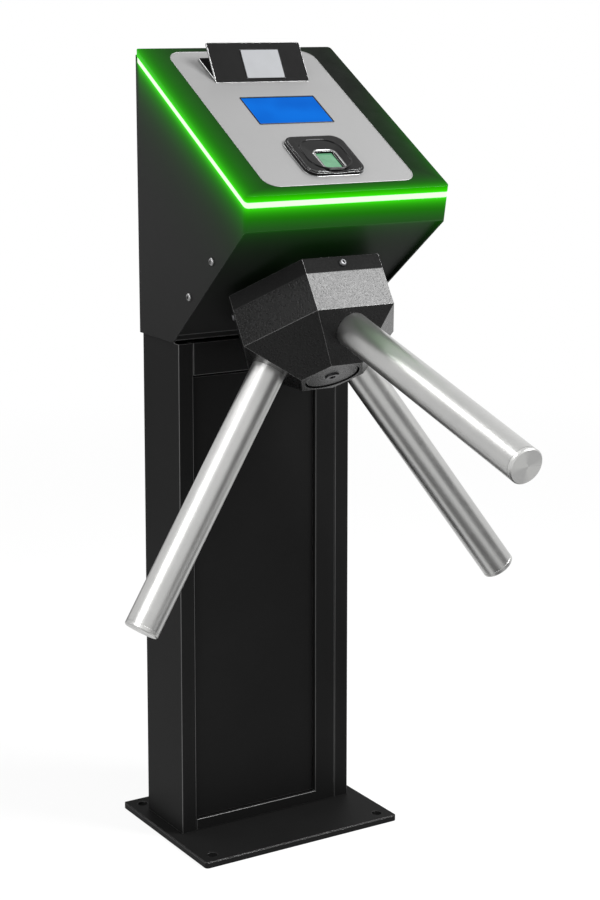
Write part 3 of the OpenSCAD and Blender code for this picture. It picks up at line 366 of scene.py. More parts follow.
def polished_black(name, rough, sheen, glow=None):
    finish = Finish(name)
    smear = finish.noise(SMEAR, 4.0)
    values = {
        "base_color": finish.between(smear, grey(0.002), grey(0.006)),
        "roughness": finish.spread(smear, 0.35, 0.75, rough * 0.7, rough * 2.0),
        "specular_ior_level": sheen,
        "normal": finish.bump(finish.noise(WAVE, 1.0), WAVE_DEPTH),
    }
    if glow:
        lit_by_strip(finish, values, glow)
    return finish.surface(**values)


lid_black = polished_black("lid_polished_black", 0.14, 0.018, glow=lid_glow)
lid_edge = polished_black("lid_polished_black_edge", 0.16, 0.30, glow=lid_glow)
hood_black = polished_black("hood_polished_black", 0.10, 0.005)
bezel_black = polished_black("bezel_polished_black", 0.10, 0.11)
print("polished:", lid_black.name, hood_black.name, bezel_black.name)

# %% [markdown]
# The control panel is satin anodised aluminium: it has no direction, only a very fine, even grain. The arms
# are tubes of stainless steel, polished on a belt while they turned, which leaves hair-fine rings round
# them. Each arm carries its own map, along and around, so the rings follow the tube however it is turned. A
# turned face has its map from the middle out, and two lighter sectors are painted on it: a painted
# highlight, like the one a turned face or a record reflects.


# %% Satin silver
def satin_silver():
    finish = Finish("satin_silver_panel")
    grain = finish.noise(0.0009, 2.0)
    cloud = finish.noise(0.15, 2.0)
    return finish.surface(
        base_color=finish.between(grain * 0.6 + cloud * 0.4, grey(0.20), grey(0.26)),
        metallic=0.6,
        roughness=finish.spread(grain, 0.3, 0.7, 0.38, 0.50),
        normal=finish.bump(grain, 0.00002),
    )


silver = satin_silver()
print("panel:", silver.name)

# %% Stainless steel
DULL_STEEL = (0.42, 0.42, 0.415, 1)
CLEAR_STEEL = (0.52, 0.52, 0.51, 1)
AROUND_SHARE = 0.004
RING_DEPTH = 0.000006
WORN_SPOT = 0.03
HIGHLIGHT_TURN = 1.2


def stainless(name, map_name, ring, rough, highlight_fan=0.0):
    """Steel with rings along the first reading of a piece's map. The fan paints two lighter highlight
    sectors.
    """
    finish = Finish(name)
    own = finish.node("ShaderNodeUVMap", {"uv_map": map_name})
    along, around, _ = finish.parts(own)
    line = finish.node("ShaderNodeCombineXYZ", {}, {"X": along, "Y": around * AROUND_SHARE})
    rings = finish.noise(ring, 4.0, place=line, rough=0.65)
    worn = finish.noise(WORN_SPOT, 3.0)
    # Painted highlight: two lighter sectors on a turned face, where it would reflect the light
    highlight_sectors = (around * 2.0 + HIGHLIGHT_TURN).maths("COSINE") * highlight_fan
    return finish.surface(
        base_color=finish.between(rings * 0.5 + worn * 0.5 + highlight_sectors, DULL_STEEL, CLEAR_STEEL),
        metallic=1.0,
        roughness=finish.spread(rings * 0.6 + worn * 0.4, 0.3, 0.7, rough - 0.03, rough + 0.03),
        normal=finish.bump(rings, RING_DEPTH),
    )


tube_steel = stainless("polished_tube_steel", "along_the_arm", 0.0016, 0.33)
turned_steel = stainless("turned_cap_steel", "out_from_the_middle", 0.0009, 0.40, highlight_fan=1.0)
print("steel:", tube_steel.name, turned_steel.name)

# %% [markdown]
# Three pieces shine by themselves: the strip behind its frosted diffuser, the screen and the window of the
# fingerprint reader. The strip is nearly white along its middle and pure green at its edges, which is what a
# camera sees of a bright green lamp. Each keeps a strength of 1, so its colour stays as written. The screen
# has faint rows, about 0.7 mm apart. The card reader's window doesn't shine, it is only pale.


# %% Lit pieces and the pale window
ROW_RATE = 9000.0


def light_strip():
    finish = Finish("lit_green_strip")
    _, depth, _ = lid_readings(finish)
    off_middle = abs(depth - STRIP_TOP - STRIP_HEIGHT / 2) / (STRIP_HEIGHT / 2)
    lamps = finish.noise(0.008, 1.0)
    core = finish.spread(off_middle + lamps * 0.15, 0.85, 1.40, 1.0, 0.0)
    return finish.surface(
        base_color=grey(0.05), roughness=0.4, emission_strength=1.0,
        emission_color=finish.between(core, (0.10, 0.80, 0.02, 1), (0.78, 1.0, 0.70, 1)))


def screen_blue():
    finish = Finish("lit_blue_screen")
    rows = (finish.parts()[2] * ROW_RATE).maths("SINE")
    cloud = finish.noise(0.05, 1.0)
    glow = finish.spread(cloud + rows * 0.03, 0.3, 0.7)
    return finish.surface(
        base_color=(0.0, 0.001, 0.005, 1), roughness=0.12, specular_ior_level=0.01, emission_strength=1.0,
        emission_color=finish.between(glow, (0.0, 0.125, 0.62, 1), (0.001, 0.165, 0.74, 1)))


def reader_green():
    finish = Finish("lit_green_reader_window")
    cloud = finish.noise(0.012, 2.0)
    return finish.surface(
        base_color=(0.02, 0.05, 0.03, 1), roughness=0.08, emission_strength=1.0,
        emission_color=finish.between(cloud, (0.02, 0.10, 0.05, 1), (0.16, 0.42, 0.22, 1)))


def reader_pale():
    finish = Finish("pale_reader_window")
    cloud = finish.noise(0.03, 3.0)
    return finish.surface(
        base_color=finish.between(cloud, (0.19, 0.195, 0.20, 1), (0.235, 0.24, 0.25, 1)),
        roughness=finish.spread(cloud, 0.3, 0.7, 0.30, 0.42), specular_ior_level=0.02)


strip_green, blue, reader_window_green, pale = light_strip(), screen_blue(), reader_green(), reader_pale()
print("lit pieces:", strip_green.name, blue.name, reader_window_green.name, pale.name)

# %% [markdown]
# The pieces inside only show when the turnstile is opened, but each still gets the finish of its real
# metal, board or plastic. One recipe serves them: two tones to wander between, how metallic and rough it
# is, how large its grain is and how deep. The screws that show use it too, and so does a light metallic
# grey: a painted highlight on the rounded edges of the polished pieces, and the bright trims of the
# fingerprint reader.


# %% Grained finishes
def grained(name, low, high, metal, rough, grain, depth):
    finish = Finish(name)
    spots = finish.noise(grain, 4.0)
    cloud = finish.noise(grain * 20, 2.0)
    return finish.surface(
        base_color=finish.between(spots * 0.5 + cloud * 0.5, (*low, 1), (*high, 1)),
        metallic=metal,
        roughness=finish.spread(spots, 0.3, 0.7, rough - 0.06, rough + 0.06),
        normal=finish.bump(spots, depth),
    )


# By slot: name, lower tone, higher tone, metal, roughness, grain, depth
inner_looks = {
    "bright_steel": ("ground_steel", (0.44, 0.45, 0.46), (0.62, 0.63, 0.64), 1.0, 0.28, 0.0012, 0.00003),
    "zinc_plated": ("zinc_plated_sheet", (0.38, 0.40, 0.42), (0.58, 0.60, 0.62), 1.0, 0.38, 0.006, 0.00002),
    "dark_steel": ("blackened_steel", (0.05, 0.05, 0.052), (0.12, 0.12, 0.125), 0.9, 0.42, 0.002, 0.00004),
    "cast_aluminium": ("cast_aluminium", (0.34, 0.35, 0.36), (0.50, 0.51, 0.52), 0.9, 0.50, 0.0016, 0.00015),
    "brass": ("machined_brass", (0.48, 0.32, 0.10), (0.68, 0.48, 0.19), 1.0, 0.30, 0.0015, 0.00003),
    "coil_tape": ("coil_tape", (0.42, 0.28, 0.05), (0.62, 0.46, 0.11), 0.0, 0.45, 0.003, 0.00006),
    "black_plastic": ("moulded_black_plastic", (0.012,) * 3, (0.03,) * 3, 0.0, 0.45, 0.0012, 0.00004),
    "circuit_board": (
        "green_circuit_board", (0.006, 0.06, 0.02), (0.014, 0.12, 0.045), 0.0, 0.35, 0.004, 0.00003),
    "light_board": ("white_light_board", (0.60, 0.60, 0.58), (0.76, 0.76, 0.74), 0.0, 0.45, 0.004, 0.00002),
}
inner = {slot: grained(*look) for slot, look in inner_looks.items()}
screw_steel = grained("screw_steel", (0.16,) * 3, (0.30,) * 3, 1.0, 0.30, 0.002, 0.00003)
# Painted highlight: a light metallic grey for the rounded edges of polished pieces, and their bright trims
polished_edge = grained("polished_edge", (0.06,) * 3, (0.42,) * 3, 0.8, 0.20, 0.005, 0.00001)
print("inner finishes:", len(inner), "and", screw_steel.name, polished_edge.name)

# %% [markdown]
# Every carried-over piece gets its finish now, by its material slot. Pieces that are made anew below take
# theirs as they are made.

# %% Assign the finishes by slot
finish_of = dict(
    inner, black_powder_coat=fine_black, textured_black_coat=coarse_black, gloss_black=lid_black,
    satin_silver=silver, brushed_stainless=inner["bright_steel"], green_light=strip_green,
    green_window=reader_window_green, blue_screen=blue, pale_window=pale)
for node, thing in frame["nodes"].items():
    thing.data.materials.clear()
    thing.data.materials.append(inner["dark_steel"] if node == "centre_bolt" else finish_of[slot_of[node]])
print("finishes given to", len(frame["nodes"]), "pieces")

# %% [markdown]
# No folded or cast edge is truly sharp, and the thin bright line on a rounded edge is much of what makes
# metal look real. A softened copy of a solid does this: its loose triangles are merged, flat neighbours
# become one face, and the Bevel modifier rounds every edge by a fraction of a millimetre. Hands and cloths
# polish an edge first, so the rounded faces get a glossier coat of their own; on the black pieces but the
# lid that coat is also lighter in colour, a painted highlight. The outer corners of the lid, the strip and
# the housing are rounded by 4.5 mm before that, and the hood's by 3 mm. A bevel only takes material away,
# so the copy stays inside the solid's own box.


# %% Pieces in the scene
def put_in(name, data):
    """A new object in the scene."""
    made = bpy.data.objects.new(name, data)
    bpy.context.scene.collection.objects.link(made)
    return made


def mesh_of(name, shape):
    """A mesh from an edited shape, which is freed."""
    mesh = bpy.data.meshes.new(name)
    shape.to_mesh(mesh)
    shape.free()
    return mesh


def plain_piece(live, name):
    """The evaluated shape of a live object as a plain mesh, in place of it."""
    done = live.evaluated_get(bpy.context.evaluated_depsgraph_get())
    piece = put_in(name, bpy.data.meshes.new_from_object(done))
    bpy.data.objects.remove(live)
    return piece


def stands_for(piece, *nodes):
    """The piece moves with its nodes' body and hides them."""
    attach(piece, body_of(frame["nodes"][nodes[0]])[0])
    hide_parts(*nodes)
    return piece


# %% Round the outer corners
# By node: the corners' radius, and the shortest and the longest edge that counts as a corner
corner_rounds = {
    "lid": (0.0045, 0.005, 0.010), "led_diffuser": (0.0045, 0.005, 0.010),
    "housing_shell": (0.0045, 0.020, 0.040), "reader_hood": (0.003, 0.002, 0.003)}
OUTER_REACH = 0.0016
UPRIGHT_ENOUGH = 0.85


def round_corners(shape, radius, shortest, longest):
    """Rounds the outermost corners that stand out from the lid's face, and says how many."""
    reach = max(abs(corner.co.x) for corner in shape.verts) - OUTER_REACH
    corners = [edge for edge in shape.edges
               if all(abs(corner.co.x) > reach for corner in edge.verts)
               and shortest < edge.calc_length() < longest
               and abs((edge.verts[1].co - edge.verts[0].co).normalized().dot(lid_out)) > UPRIGHT_ENOUGH]
    bmesh.ops.bevel(shape, geom=corners, offset=radius, segments=4, profile=0.5, affect="EDGES",
                    clamp_overlap=True)
    return len(corners)


print("pieces with round corners:", *corner_rounds)

# %% Soften a piece's edges
SAME_PLACE = 0.00001
FLAT = math.radians(0.8)
SHARP = math.radians(28)


def softened(node, finish, edge_finish, width, steps=2):
    """A copy of a node's solid with rounded edges, and the finish of the edges on the rounded faces."""
    source = frame["nodes"][node]
    shape = bmesh.new()
    shape.from_mesh(source.data)
    bmesh.ops.transform(shape, matrix=source.matrix_world, verts=shape.verts)
    bmesh.ops.remove_doubles(shape, verts=shape.verts, dist=SAME_PLACE)
    bmesh.ops.dissolve_limit(shape, angle_limit=FLAT, verts=shape.verts, edges=shape.edges)
    if node in corner_rounds:
        print(node, "corners rounded:", round_corners(shape, *corner_rounds[node]))
    mesh = mesh_of(node + "_rough", shape)
    if "custom_normal" in mesh.attributes:
        mesh.attributes.remove(mesh.attributes["custom_normal"])
    mesh.materials.clear()
    mesh.materials.append(finish)
    mesh.materials.append(edge_finish)
    for face in mesh.polygons:
        face.use_smooth = True
        face.material_index = 0
    rough = put_in(node + "_rough", mesh)
    bevel = rough.modifiers.new("soft edges", "BEVEL")
    bevel.limit_method = "ANGLE"
    bevel.angle_limit = SHARP
    bevel.width = width
    bevel.segments = steps
    bevel.use_clamp_overlap = True
    bevel.harden_normals = True
    bevel.material = 1
    return plain_piece(rough, node + "_dressed")


# By node: the finish, the edges' finish, the rounding's width and, on the hub, its steps
soft_pieces = {
    "base_plate": (fine_black, fine_edge, 0.0010), "column_shell": (fine_black, fine_edge, 0.0008),
    "front_frame": (fine_black, fine_edge, 0.0007), "access_cover": (fine_black, fine_edge, 0.0009),
    "housing_shell": (wall_black, wall_edge, 0.0008), "underside_panel": (wall_black, wall_edge, 0.0006),
    "lid": (lid_black, lid_edge, 0.0010), "control_panel": (silver, silver, 0.0001),
    "fingerprint_bezel": (bezel_black, polished_edge, 0.0009),
    "reader_hood": (hood_black, polished_edge, 0.0010),
    "reader_window": (pale, pale, 0.0001), "lcd_glass": (blue, blue, 0.0003),
    "fingerprint_glass": (reader_window_green, reader_window_green, 0.0003),
    "led_diffuser": (strip_green, strip_green, 0.0004), "hub_shell": (coarse_black, coarse_edge, 0.0018, 3),
    "hub_end_cap": (coarse_black, coarse_edge, 0.0010),
}
for node, look in soft_pieces.items():
    piece = stands_for(softened(node, *look), node)
    print("softened", node, "faces:", len(piece.data.polygons))

# %% [markdown]
# Fine rims frame what is let into the lid: a bright one round the silver panel's milled edge, a black seal
# round the screen, one round the card reader's window, and three on the fingerprint reader, the raised
# guide for the finger among them. Each follows a rectangle with round corners, so one Geometry Nodes tree
# makes all six: it fillets a rectangle and sweeps a small circle along it.


# %% The tree for a rim
class Growth:
    """A Geometry Nodes tree that is built a node at a time, with named inputs."""

    def __init__(self, name, inputs):
        self.tree = bpy.data.node_groups.new(name, "GeometryNodeTree")
        self.tree.interface.new_socket("Geometry", in_out="OUTPUT", socket_type="NodeSocketGeometry")
        for title, kind in inputs.items():
            self.tree.interface.new_socket(title, in_out="INPUT", socket_type="NodeSocket" + kind)
        self.start = self.tree.nodes.new("NodeGroupInput")
        self.end = self.tree.nodes.new("NodeGroupOutput")

    def add(self, kind, settings=None, values=None):
        made = self.tree.nodes.new(kind)
        for key, value in (settings or {}).items():
            setattr(made, key, value)
        for key, value in (values or {}).items():
            if isinstance(value, bpy.types.NodeSocket):
                self.tree.links.new(value, made.inputs[key])
            else:
                made.inputs[key].default_value = value
        return made

    def given(self, title):
        return self.start.outputs[title]

    def finish(self, geometry, material):
        """Realize the instances, set the material, and end the tree."""
        real = self.add("GeometryNodeRealizeInstances", {}, {"Geometry": geometry})
        dressed = self.add("GeometryNodeSetMaterial", {}, {
            "Geometry": real.outputs[0], "Material": material})
        self.tree.links.new(dressed.outputs[0], self.end.inputs[0])

    def grow(self, name, given):
        """A live object with this tree on it and its inputs set by the sockets' identifiers."""
        live = put_in(name, bpy.data.meshes.new(name))
        modifier = live.modifiers.new(name, "NODES")
        modifier.node_group = self.tree
        for socket in self.tree.interface.items_tree:
            if socket.in_out == "INPUT" and socket.name in given:
                modifier[socket.identifier] = given[socket.name]
        return live


def rim_tree():
    grown = Growth("rim", {
        "Width": "Float", "Length": "Float", "Corner": "Float", "Thickness": "Float", "Finish": "Material"})
    outline = grown.add("GeometryNodeCurvePrimitiveQuadrilateral", {}, {
        "Width": grown.given("Width"), "Height": grown.given("Length")})
    bent = grown.add("GeometryNodeFilletCurve", {"mode": "POLY"}, {
        "Curve": outline.outputs[0], "Count": 10, "Radius": grown.given("Corner")})
    ring = grown.add("GeometryNodeCurvePrimitiveCircle", {}, {
        "Resolution": 12, "Radius": grown.given("Thickness")})
    skin = grown.add("GeometryNodeCurveToMesh", {}, {
        "Curve": bent.outputs[0], "Profile Curve": ring.outputs[0]})
    smooth = grown.add("GeometryNodeSetShadeSmooth", {}, {"Geometry": skin.outputs[0]})
    grown.finish(smooth.outputs[0], grown.given("Finish"))
    return grown


rim_maker = rim_tree()
print("rim tree nodes:", len(rim_maker.tree.nodes))


# %% Set the rims on the lid
def axes_at(origin, across, up, out):
    """A frame at a place, from its three directions."""
    made = Matrix((across, up, out)).transposed().to_4x4()
    made.translation = origin
    return made


def on_lid(x, down, out):
    return axes_at(lid_point(x, down, out), RIGHT, lid_up, lid_out)


def set_rim(name, place, width, length, corner, thickness, finish, slot):
    """A rim of a width and a length, its corners' radius and its own radius, laid on a place of the lid."""
    live = rim_maker.grow(name + "_live", {
        "Width": width, "Length": length, "Corner": corner, "Thickness": thickness, "Finish": finish})
    piece = plain_piece(live, name)
    piece.data.transform(place)
    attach(piece, "stand")
    print(name, "faces:", len(piece.data.polygons))


# By name: place across, down and out of the lid, width, length, corners' radius, own radius, finish, slot
lid_rims = {
    "panel_rim": (0, 0.16165, 0.0003, 0.2196, 0.3019, 0.0198, 0.0005, silver, "satin_silver"),
    "screen_seal": (0.002, 0.150, 0.0005, 0.1104, 0.0604, 0.0012, 0.0007, bezel_black, "gloss_black"),
    "finger_rim": (0, 0.269, 0.0056, 0.032, 0.040, 0.008, 0.0014, polished_edge, "gloss_black"),
    "finger_guide": (0, 0.2575, 0.0058, 0.061, 0.062, 0.023, 0.0017, bezel_black, "gloss_black"),
    "bezel_rim": (0, 0.256, 0.0004, 0.0868, 0.0808, 0.0164, 0.0006, polished_edge, "satin_silver"),
}
for name, (x, down, out, *look) in lid_rims.items():
    set_rim(name, on_lid(x, down, out), *look)

# %% Set the rim of the card reader's window
# The window's front and back are equally large, so a very small share of the way they face tells them apart
TIE_SHARE = 1e-7
RIM_IN = 0.0002
solid = frame["nodes"]["reader_window"]
broad = max(solid.data.polygons, key=lambda face: face.area - TIE_SHARE * face.normal.y)
window_out = solid.matrix_world.to_3x3() @ broad.normal
window_up = Vector((0, window_out.z, -window_out.y))
corners = [solid.matrix_world @ corner.co for corner in solid.data.vertices]
spans = [[corner.dot(way) for corner in corners] for way in (RIGHT, window_up, window_out)]
sizes = [max(span) - min(span) for span in spans]
middles = [(max(span) + min(span)) / 2 for span in spans]
window_middle = RIGHT * middles[0] + window_up * middles[1] + window_out * (max(spans[2]) - RIM_IN)
set_rim("window_rim", axes_at(window_middle, RIGHT, window_up, window_out),
        sizes[0] - 2 * RIM_IN, sizes[1] - 2 * RIM_IN, 0.0022, 0.0006, bezel_black, "gloss_black")
print("the window is", rounded(sizes[:2], 4), "m and faces", rounded(window_out))

# %% [markdown]
# The three arms are one shape that is turned about the hub's axis, so one Geometry Nodes tree makes them
# all. A line runs along the arm and a circle is swept along it, once for the outside and once, turned
# inside out, for the bore. How far along and around each point is becomes the map that the steel's rings
# follow.


# %% The tree for an arm
ARM_ANGLE = math.radians(41.2)
ARM_APEX = 0.008
ARM_SEAT = 0.048
ARM_REACH = 0.475
ARM_CAP = 0.006
ARM_RADIUS = 0.02225
ARM_WALL = 0.002


def arm_tree():
    grown = Growth("arm", {"Length": "Float", "Radius": "Float", "Wall": "Float", "Steel": "Material"})
    top = grown.add("ShaderNodeCombineXYZ", {}, {"Z": grown.given("Length")})
    line = grown.add("GeometryNodeCurvePrimitiveLine", {}, {"End": top.outputs[0]})
    fine = grown.add("GeometryNodeResampleCurve", {}, {"Curve": line.outputs[0], "Count": 48})
    walls = grown.add("GeometryNodeJoinGeometry")
    bore = grown.add("ShaderNodeMath", {"operation": "SUBTRACT"}, {
        0: grown.given("Radius"), 1: grown.given("Wall")})
    for radius, inside in ((grown.given("Radius"), False), (bore.outputs[0], True)):
        ring = grown.add("GeometryNodeCurvePrimitiveCircle", {}, {"Resolution": 96, "Radius": radius})
        wall = grown.add("GeometryNodeCurveToMesh", {}, {
            "Curve": fine.outputs[0], "Profile Curve": ring.outputs[0]})
        if inside:
            wall = grown.add("GeometryNodeFlipFaces", {}, {"Mesh": wall.outputs[0]})
        grown.tree.links.new(wall.outputs[0], walls.inputs[0])
    smooth = grown.add("GeometryNodeSetShadeSmooth", {}, {"Geometry": walls.outputs[0]})
    grown.finish(smooth.outputs[0], grown.given("Steel"))
    return grown


arm_maker = arm_tree()
print("arm tree nodes:", len(arm_maker.tree.nodes))


# %% Set the arms
def arm_frame(turn):
    """Where an arm starts, and which way it points: its Z runs out along the tube."""
    around = math.radians(turn)
    away = hub_up * math.cos(around) - RIGHT * math.sin(around)
    out = hub_out * math.cos(ARM_ANGLE) + away * math.sin(ARM_ANGLE)
    across = hub_out.cross(out).normalized()
    return axes_at(HUB_PLACE + hub_out * ARM_APEX, across, out.cross(across), out)


def map_by(mesh, name, reading):
    """A map on the mesh whose two values come from each point."""
    layer = mesh.uv_layers.new(name=name)
    for loop in mesh.loops:
        layer.data[loop.index].uv = reading(mesh.vertices[loop.vertex_index].co)


arms = {"front_arm": 0, "left_arm": 120, "right_arm": 240}
TUBE_LENGTH = ARM_REACH - ARM_CAP - ARM_SEAT
for node, turn in arms.items():
    live = arm_maker.grow(node + "_live", {
        "Length": TUBE_LENGTH, "Radius": ARM_RADIUS, "Wall": ARM_WALL, "Steel": tube_steel})
    piece = plain_piece(live, node + "_tube")
    map_by(piece.data, "along_the_arm", lambda p: (p.z, math.atan2(p.y, p.x)))
    piece.data.transform(arm_frame(turn) @ Matrix.Translation((0, 0, ARM_SEAT)))
    stands_for(piece, node)
    tip = arm_frame(turn) @ Vector((0, 0, ARM_REACH))
    print(piece.name, "faces:", len(piece.data.polygons), "tip:", rounded(tip))

# %% [markdown]
# A turned cap closes each arm. On a lathe it would be a profile spun about an axis, and Spin does just
# that: a short plug, a shoulder, a small chamfer and a face with the fine steps that the tool leaves. The
# three caps are one piece, because they never part.


# %% Spin a profile
def turned(profile, steps):
    """A closed shape spun from (radius, height) points. Doubles are merged before the normals are set."""
    shape = bmesh.new()
    points = [shape.verts.new((r, 0, z)) for r, z in profile]
    lines = [shape.edges.new(pair) for pair in zip(points, points[1:])]
    bmesh.ops.spin(shape, geom=points + lines, cent=(0, 0, 0), axis=(0, 0, 1), angle=math.tau, steps=steps,
                   use_merge=True)
    bmesh.ops.remove_doubles(shape, verts=shape.verts, dist=0.000001)
    bmesh.ops.recalc_face_normals(shape, faces=shape.faces)
    return shape


def smooth(mesh, sharpest):
    """Smooth shading, but not over an edge that is sharper than an angle in degrees."""
    for face in mesh.polygons:
        face.use_smooth = True
    mesh.set_sharp_from_angle(angle=math.radians(sharpest))


CAP_LENGTH = 0.0210
CAP_SLACK = 0.0001
CHAMFER = 0.0015
TOOL_STEP = 0.00012
DISH = 0.0002
plug_radius = ARM_RADIUS - ARM_WALL - CAP_SLACK
seat = CAP_LENGTH - ARM_CAP
cap_profile = [
    (0.0, 0.0), (plug_radius, 0.0), (plug_radius, seat - CAP_SLACK),
    (ARM_RADIUS - 2 * CAP_SLACK, seat + CAP_SLACK), (ARM_RADIUS, seat + 4 * CAP_SLACK),
    (ARM_RADIUS, CAP_LENGTH - CHAMFER),
    (ARM_RADIUS - CHAMFER / 2, CAP_LENGTH - CHAMFER / 2), (ARM_RADIUS - CHAMFER, CAP_LENGTH)]
step_shares = (0.90, 0.72, 0.54, 0.36, 0.18)
cap_profile += [
    (ARM_RADIUS * share, CAP_LENGTH - TOOL_STEP * (n % 2)) for n, share in enumerate(step_shares)]
cap_profile += [(0.0, CAP_LENGTH - DISH)]
print("points of the cap's profile:", len(cap_profile))

# %% Set the caps
caps = bmesh.new()
for turn in arms.values():
    mesh = mesh_of("cap", turned(cap_profile, 96))
    map_by(mesh, "out_from_the_middle", lambda p: (math.hypot(p.x, p.y) + p.z, math.atan2(p.y, p.x)))
    mesh.transform(arm_frame(turn) @ Matrix.Translation((0, 0, ARM_REACH - CAP_LENGTH)))
    caps.from_mesh(mesh)
    bpy.data.meshes.remove(mesh)
cap_mesh = mesh_of("arm_caps_turned", caps)
cap_mesh.materials.append(turned_steel)
smooth(cap_mesh, 24)
stands_for(put_in("arm_caps_turned", cap_mesh), "arm_caps")
print("caps:", len(arms), "faces:", len(cap_mesh.polygons))

# %% [markdown]
# The screws repeat, so Geometry Nodes set them: one button-head screw with a hexagon socket is modelled
# once, and the tree puts it on each point of a small mesh, along that point's own direction. Nobody stops
# every screw at the same angle, so each is turned by a random amount from a fixed seed.


# %% One button-head screw
# The outline of the head from its underside up: radius and height
head_outline = [(0.0052, 0.0), (0.0052, 0.0008), (0.0050, 0.0016), (0.0044, 0.0024), (0.0035, 0.0029)]
HEAD_RISE = 0.0030
SHANK_RADIUS = 0.0030
SOCKET_RADIUS = 0.0027
SOCKET_FLAT = 0.0023
SOCKET_FLOOR = 0.0012
SOCKET_TIP = 0.0010


def button_screw(shank):
    """A screw with its head's underside at 0. The socket's round wall is pressed to a hexagon."""
    below = [(0.0, -shank), (SHANK_RADIUS, -shank), (SHANK_RADIUS, 0.0)]
    socket = [(SOCKET_RADIUS, HEAD_RISE), (SOCKET_RADIUS, SOCKET_FLOOR), (0.0, SOCKET_TIP)]
    shape = turned(below + head_outline + socket, 36)
    for corner in shape.verts:
        if abs(math.hypot(corner.co.x, corner.co.y) - SOCKET_RADIUS) < 0.0001:
            angle = math.atan2(corner.co.y, corner.co.x) % (math.pi / 3) - math.pi / 6
            corner.co.xy *= SOCKET_FLAT / math.cos(angle) / SOCKET_RADIUS
    mesh = mesh_of("button_screw", shape)
    smooth(mesh, 32)
    return bpy.data.objects.new("button_screw", mesh)


print("a screw's head is", head_outline[0][0] * 2000, "mm wide")


# %% The tree that sets the screws
def screw_tree():
    grown = Growth("screws", {
        "Screw": "Object", "Places": "Object", "Steel": "Material", "Turn Seed": "Int"})
    places = grown.add("GeometryNodeObjectInfo", {}, {"Object": grown.given("Places")})
    screw = grown.add("GeometryNodeObjectInfo", {}, {"Object": grown.given("Screw")})
    way = grown.add("GeometryNodeInputNamedAttribute", {"data_type": "FLOAT_VECTOR"}, {"Name": "direction"})
    aim = grown.add("FunctionNodeAlignRotationToVector", {"axis": "Z"}, {"Vector": way.outputs[0]})
    # Input 3 is the most that a random float can be
    chance = grown.add("FunctionNodeRandomValue", {"data_type": "FLOAT"}, {
        3: math.tau, "Seed": grown.given("Turn Seed")})
    twist = grown.add("ShaderNodeCombineXYZ", {}, {"Z": chance.outputs[1]})
    turn = grown.add("FunctionNodeEulerToRotation", {}, {"Euler": twist.outputs[0]})
    whole = grown.add("FunctionNodeRotateRotation", {"rotation_space": "LOCAL"},
                      {"Rotation": aim.outputs[0], "Rotate By": turn.outputs[0]})
    set_on = grown.add("GeometryNodeInstanceOnPoints", {}, {
        "Points": places.outputs["Geometry"], "Instance": screw.outputs["Geometry"],
        "Rotation": whole.outputs[0]})
    grown.finish(set_on.outputs[0], grown.given("Steel"))
    return grown


def points_along(name, places):
    """A mesh of loose points that each carry a direction."""
    mesh = bpy.data.meshes.new(name)
    mesh.from_pydata([place for place, _ in places], [], [])
    mesh.attributes.new("direction", "FLOAT_VECTOR", "POINT").data.foreach_set(
        "vector", [v for _, way in places for v in way])
    return bpy.data.objects.new(name, mesh)


screw_maker = screw_tree()
print("screw tree nodes:", len(screw_maker.tree.nodes))


# %% Where the screws stand
def solids_of(node):
    """The points of each separate solid of a node, in the scene's frame and in the same order each run."""
    shape = bmesh.new()
    shape.from_mesh(frame["nodes"][node].data)
    bmesh.ops.remove_doubles(shape, verts=shape.verts, dist=SAME_PLACE)
    left, groups = set(shape.verts), []
    while left:
        group, edge = set(), [left.pop()]
        while edge:
            corner = edge.pop()
            group.add(corner)
            fresh = {link.other_vert(corner) for link in corner.link_edges} & left
            left -= fresh
            edge.extend(fresh)
        points = [frame["nodes"][node].matrix_world @ corner.co for corner in group]
        groups.append(sorted(points, key=tuple))
    shape.free()
    # A set has no order of its own, and each screw's random turn follows from its place in the list
    return sorted(groups, key=lambda points: tuple(points[0]))


def middle_of(points):
    return sum(points, Vector()) / len(points)


def head_seat(points, way):
    """The point on the screw's axis at its head's underside."""
    top = max(p.dot(way) for p in points)
    middle = middle_of(points)
    return middle + way * (top - HEAD_RISE - middle.dot(way))


def hub_way(points):
    """The way out of the hub's side that a screw stands on."""
    middle = middle_of(points) - HUB_PLACE
    ways = [hub_up * math.cos(turn) + RIGHT * math.sin(turn) for turn in (0, math.tau / 3, -math.tau / 3)]
    return max(ways, key=middle.dot).normalized()


def side_way(points):
    """The way out of the housing's side, left or right, which leans in below the lid."""
    lean = math.atan(SIDE_LEAN)
    across = RIGHT * math.copysign(math.cos(lean), middle_of(points).x)
    return (across - lid_out * math.sin(lean)).normalized()


print("screws of the hub:", len(solids_of("hub_screws")), "and of the sides:", len(solids_of("side_screws")))

# %% Set the screws of the hub and of the housing's sides
# By node: which way its screws point, their shank's length and their steel
screw_sets = {
    "hub_screws": (hub_way, 0.009, inner["dark_steel"]),
    "side_screws": (side_way, 0.0045, screw_steel),
}
for node, (way_of, shank, steel) in screw_sets.items():
    places = [(head_seat(group, way_of(group)), way_of(group)) for group in solids_of(node)]
    screw, spots = button_screw(shank), points_along(node + "_places", places)
    live = screw_maker.grow(node + "_live", {
        "Screw": screw, "Places": spots, "Steel": steel, "Turn Seed": len(places)})
    piece = stands_for(plain_piece(live, node + "_set"), node)
    bpy.data.objects.remove(screw)
    bpy.data.objects.remove(spots)
    print(piece.name, "screws:", len(places), "faces:", len(piece.data.polygons))

# %% [markdown]
# The object stands on a plain white floor, as for a catalogue. The floor is mostly a white of its own for
# what the camera, a mirror or a glass sees, and partly a real white that takes the shadow, so the shadow
# stays but is soft. Further out the floor is all its own white, so it has no end. The surroundings are
# white to be seen and grey to light with, or they would drown the soft boxes.


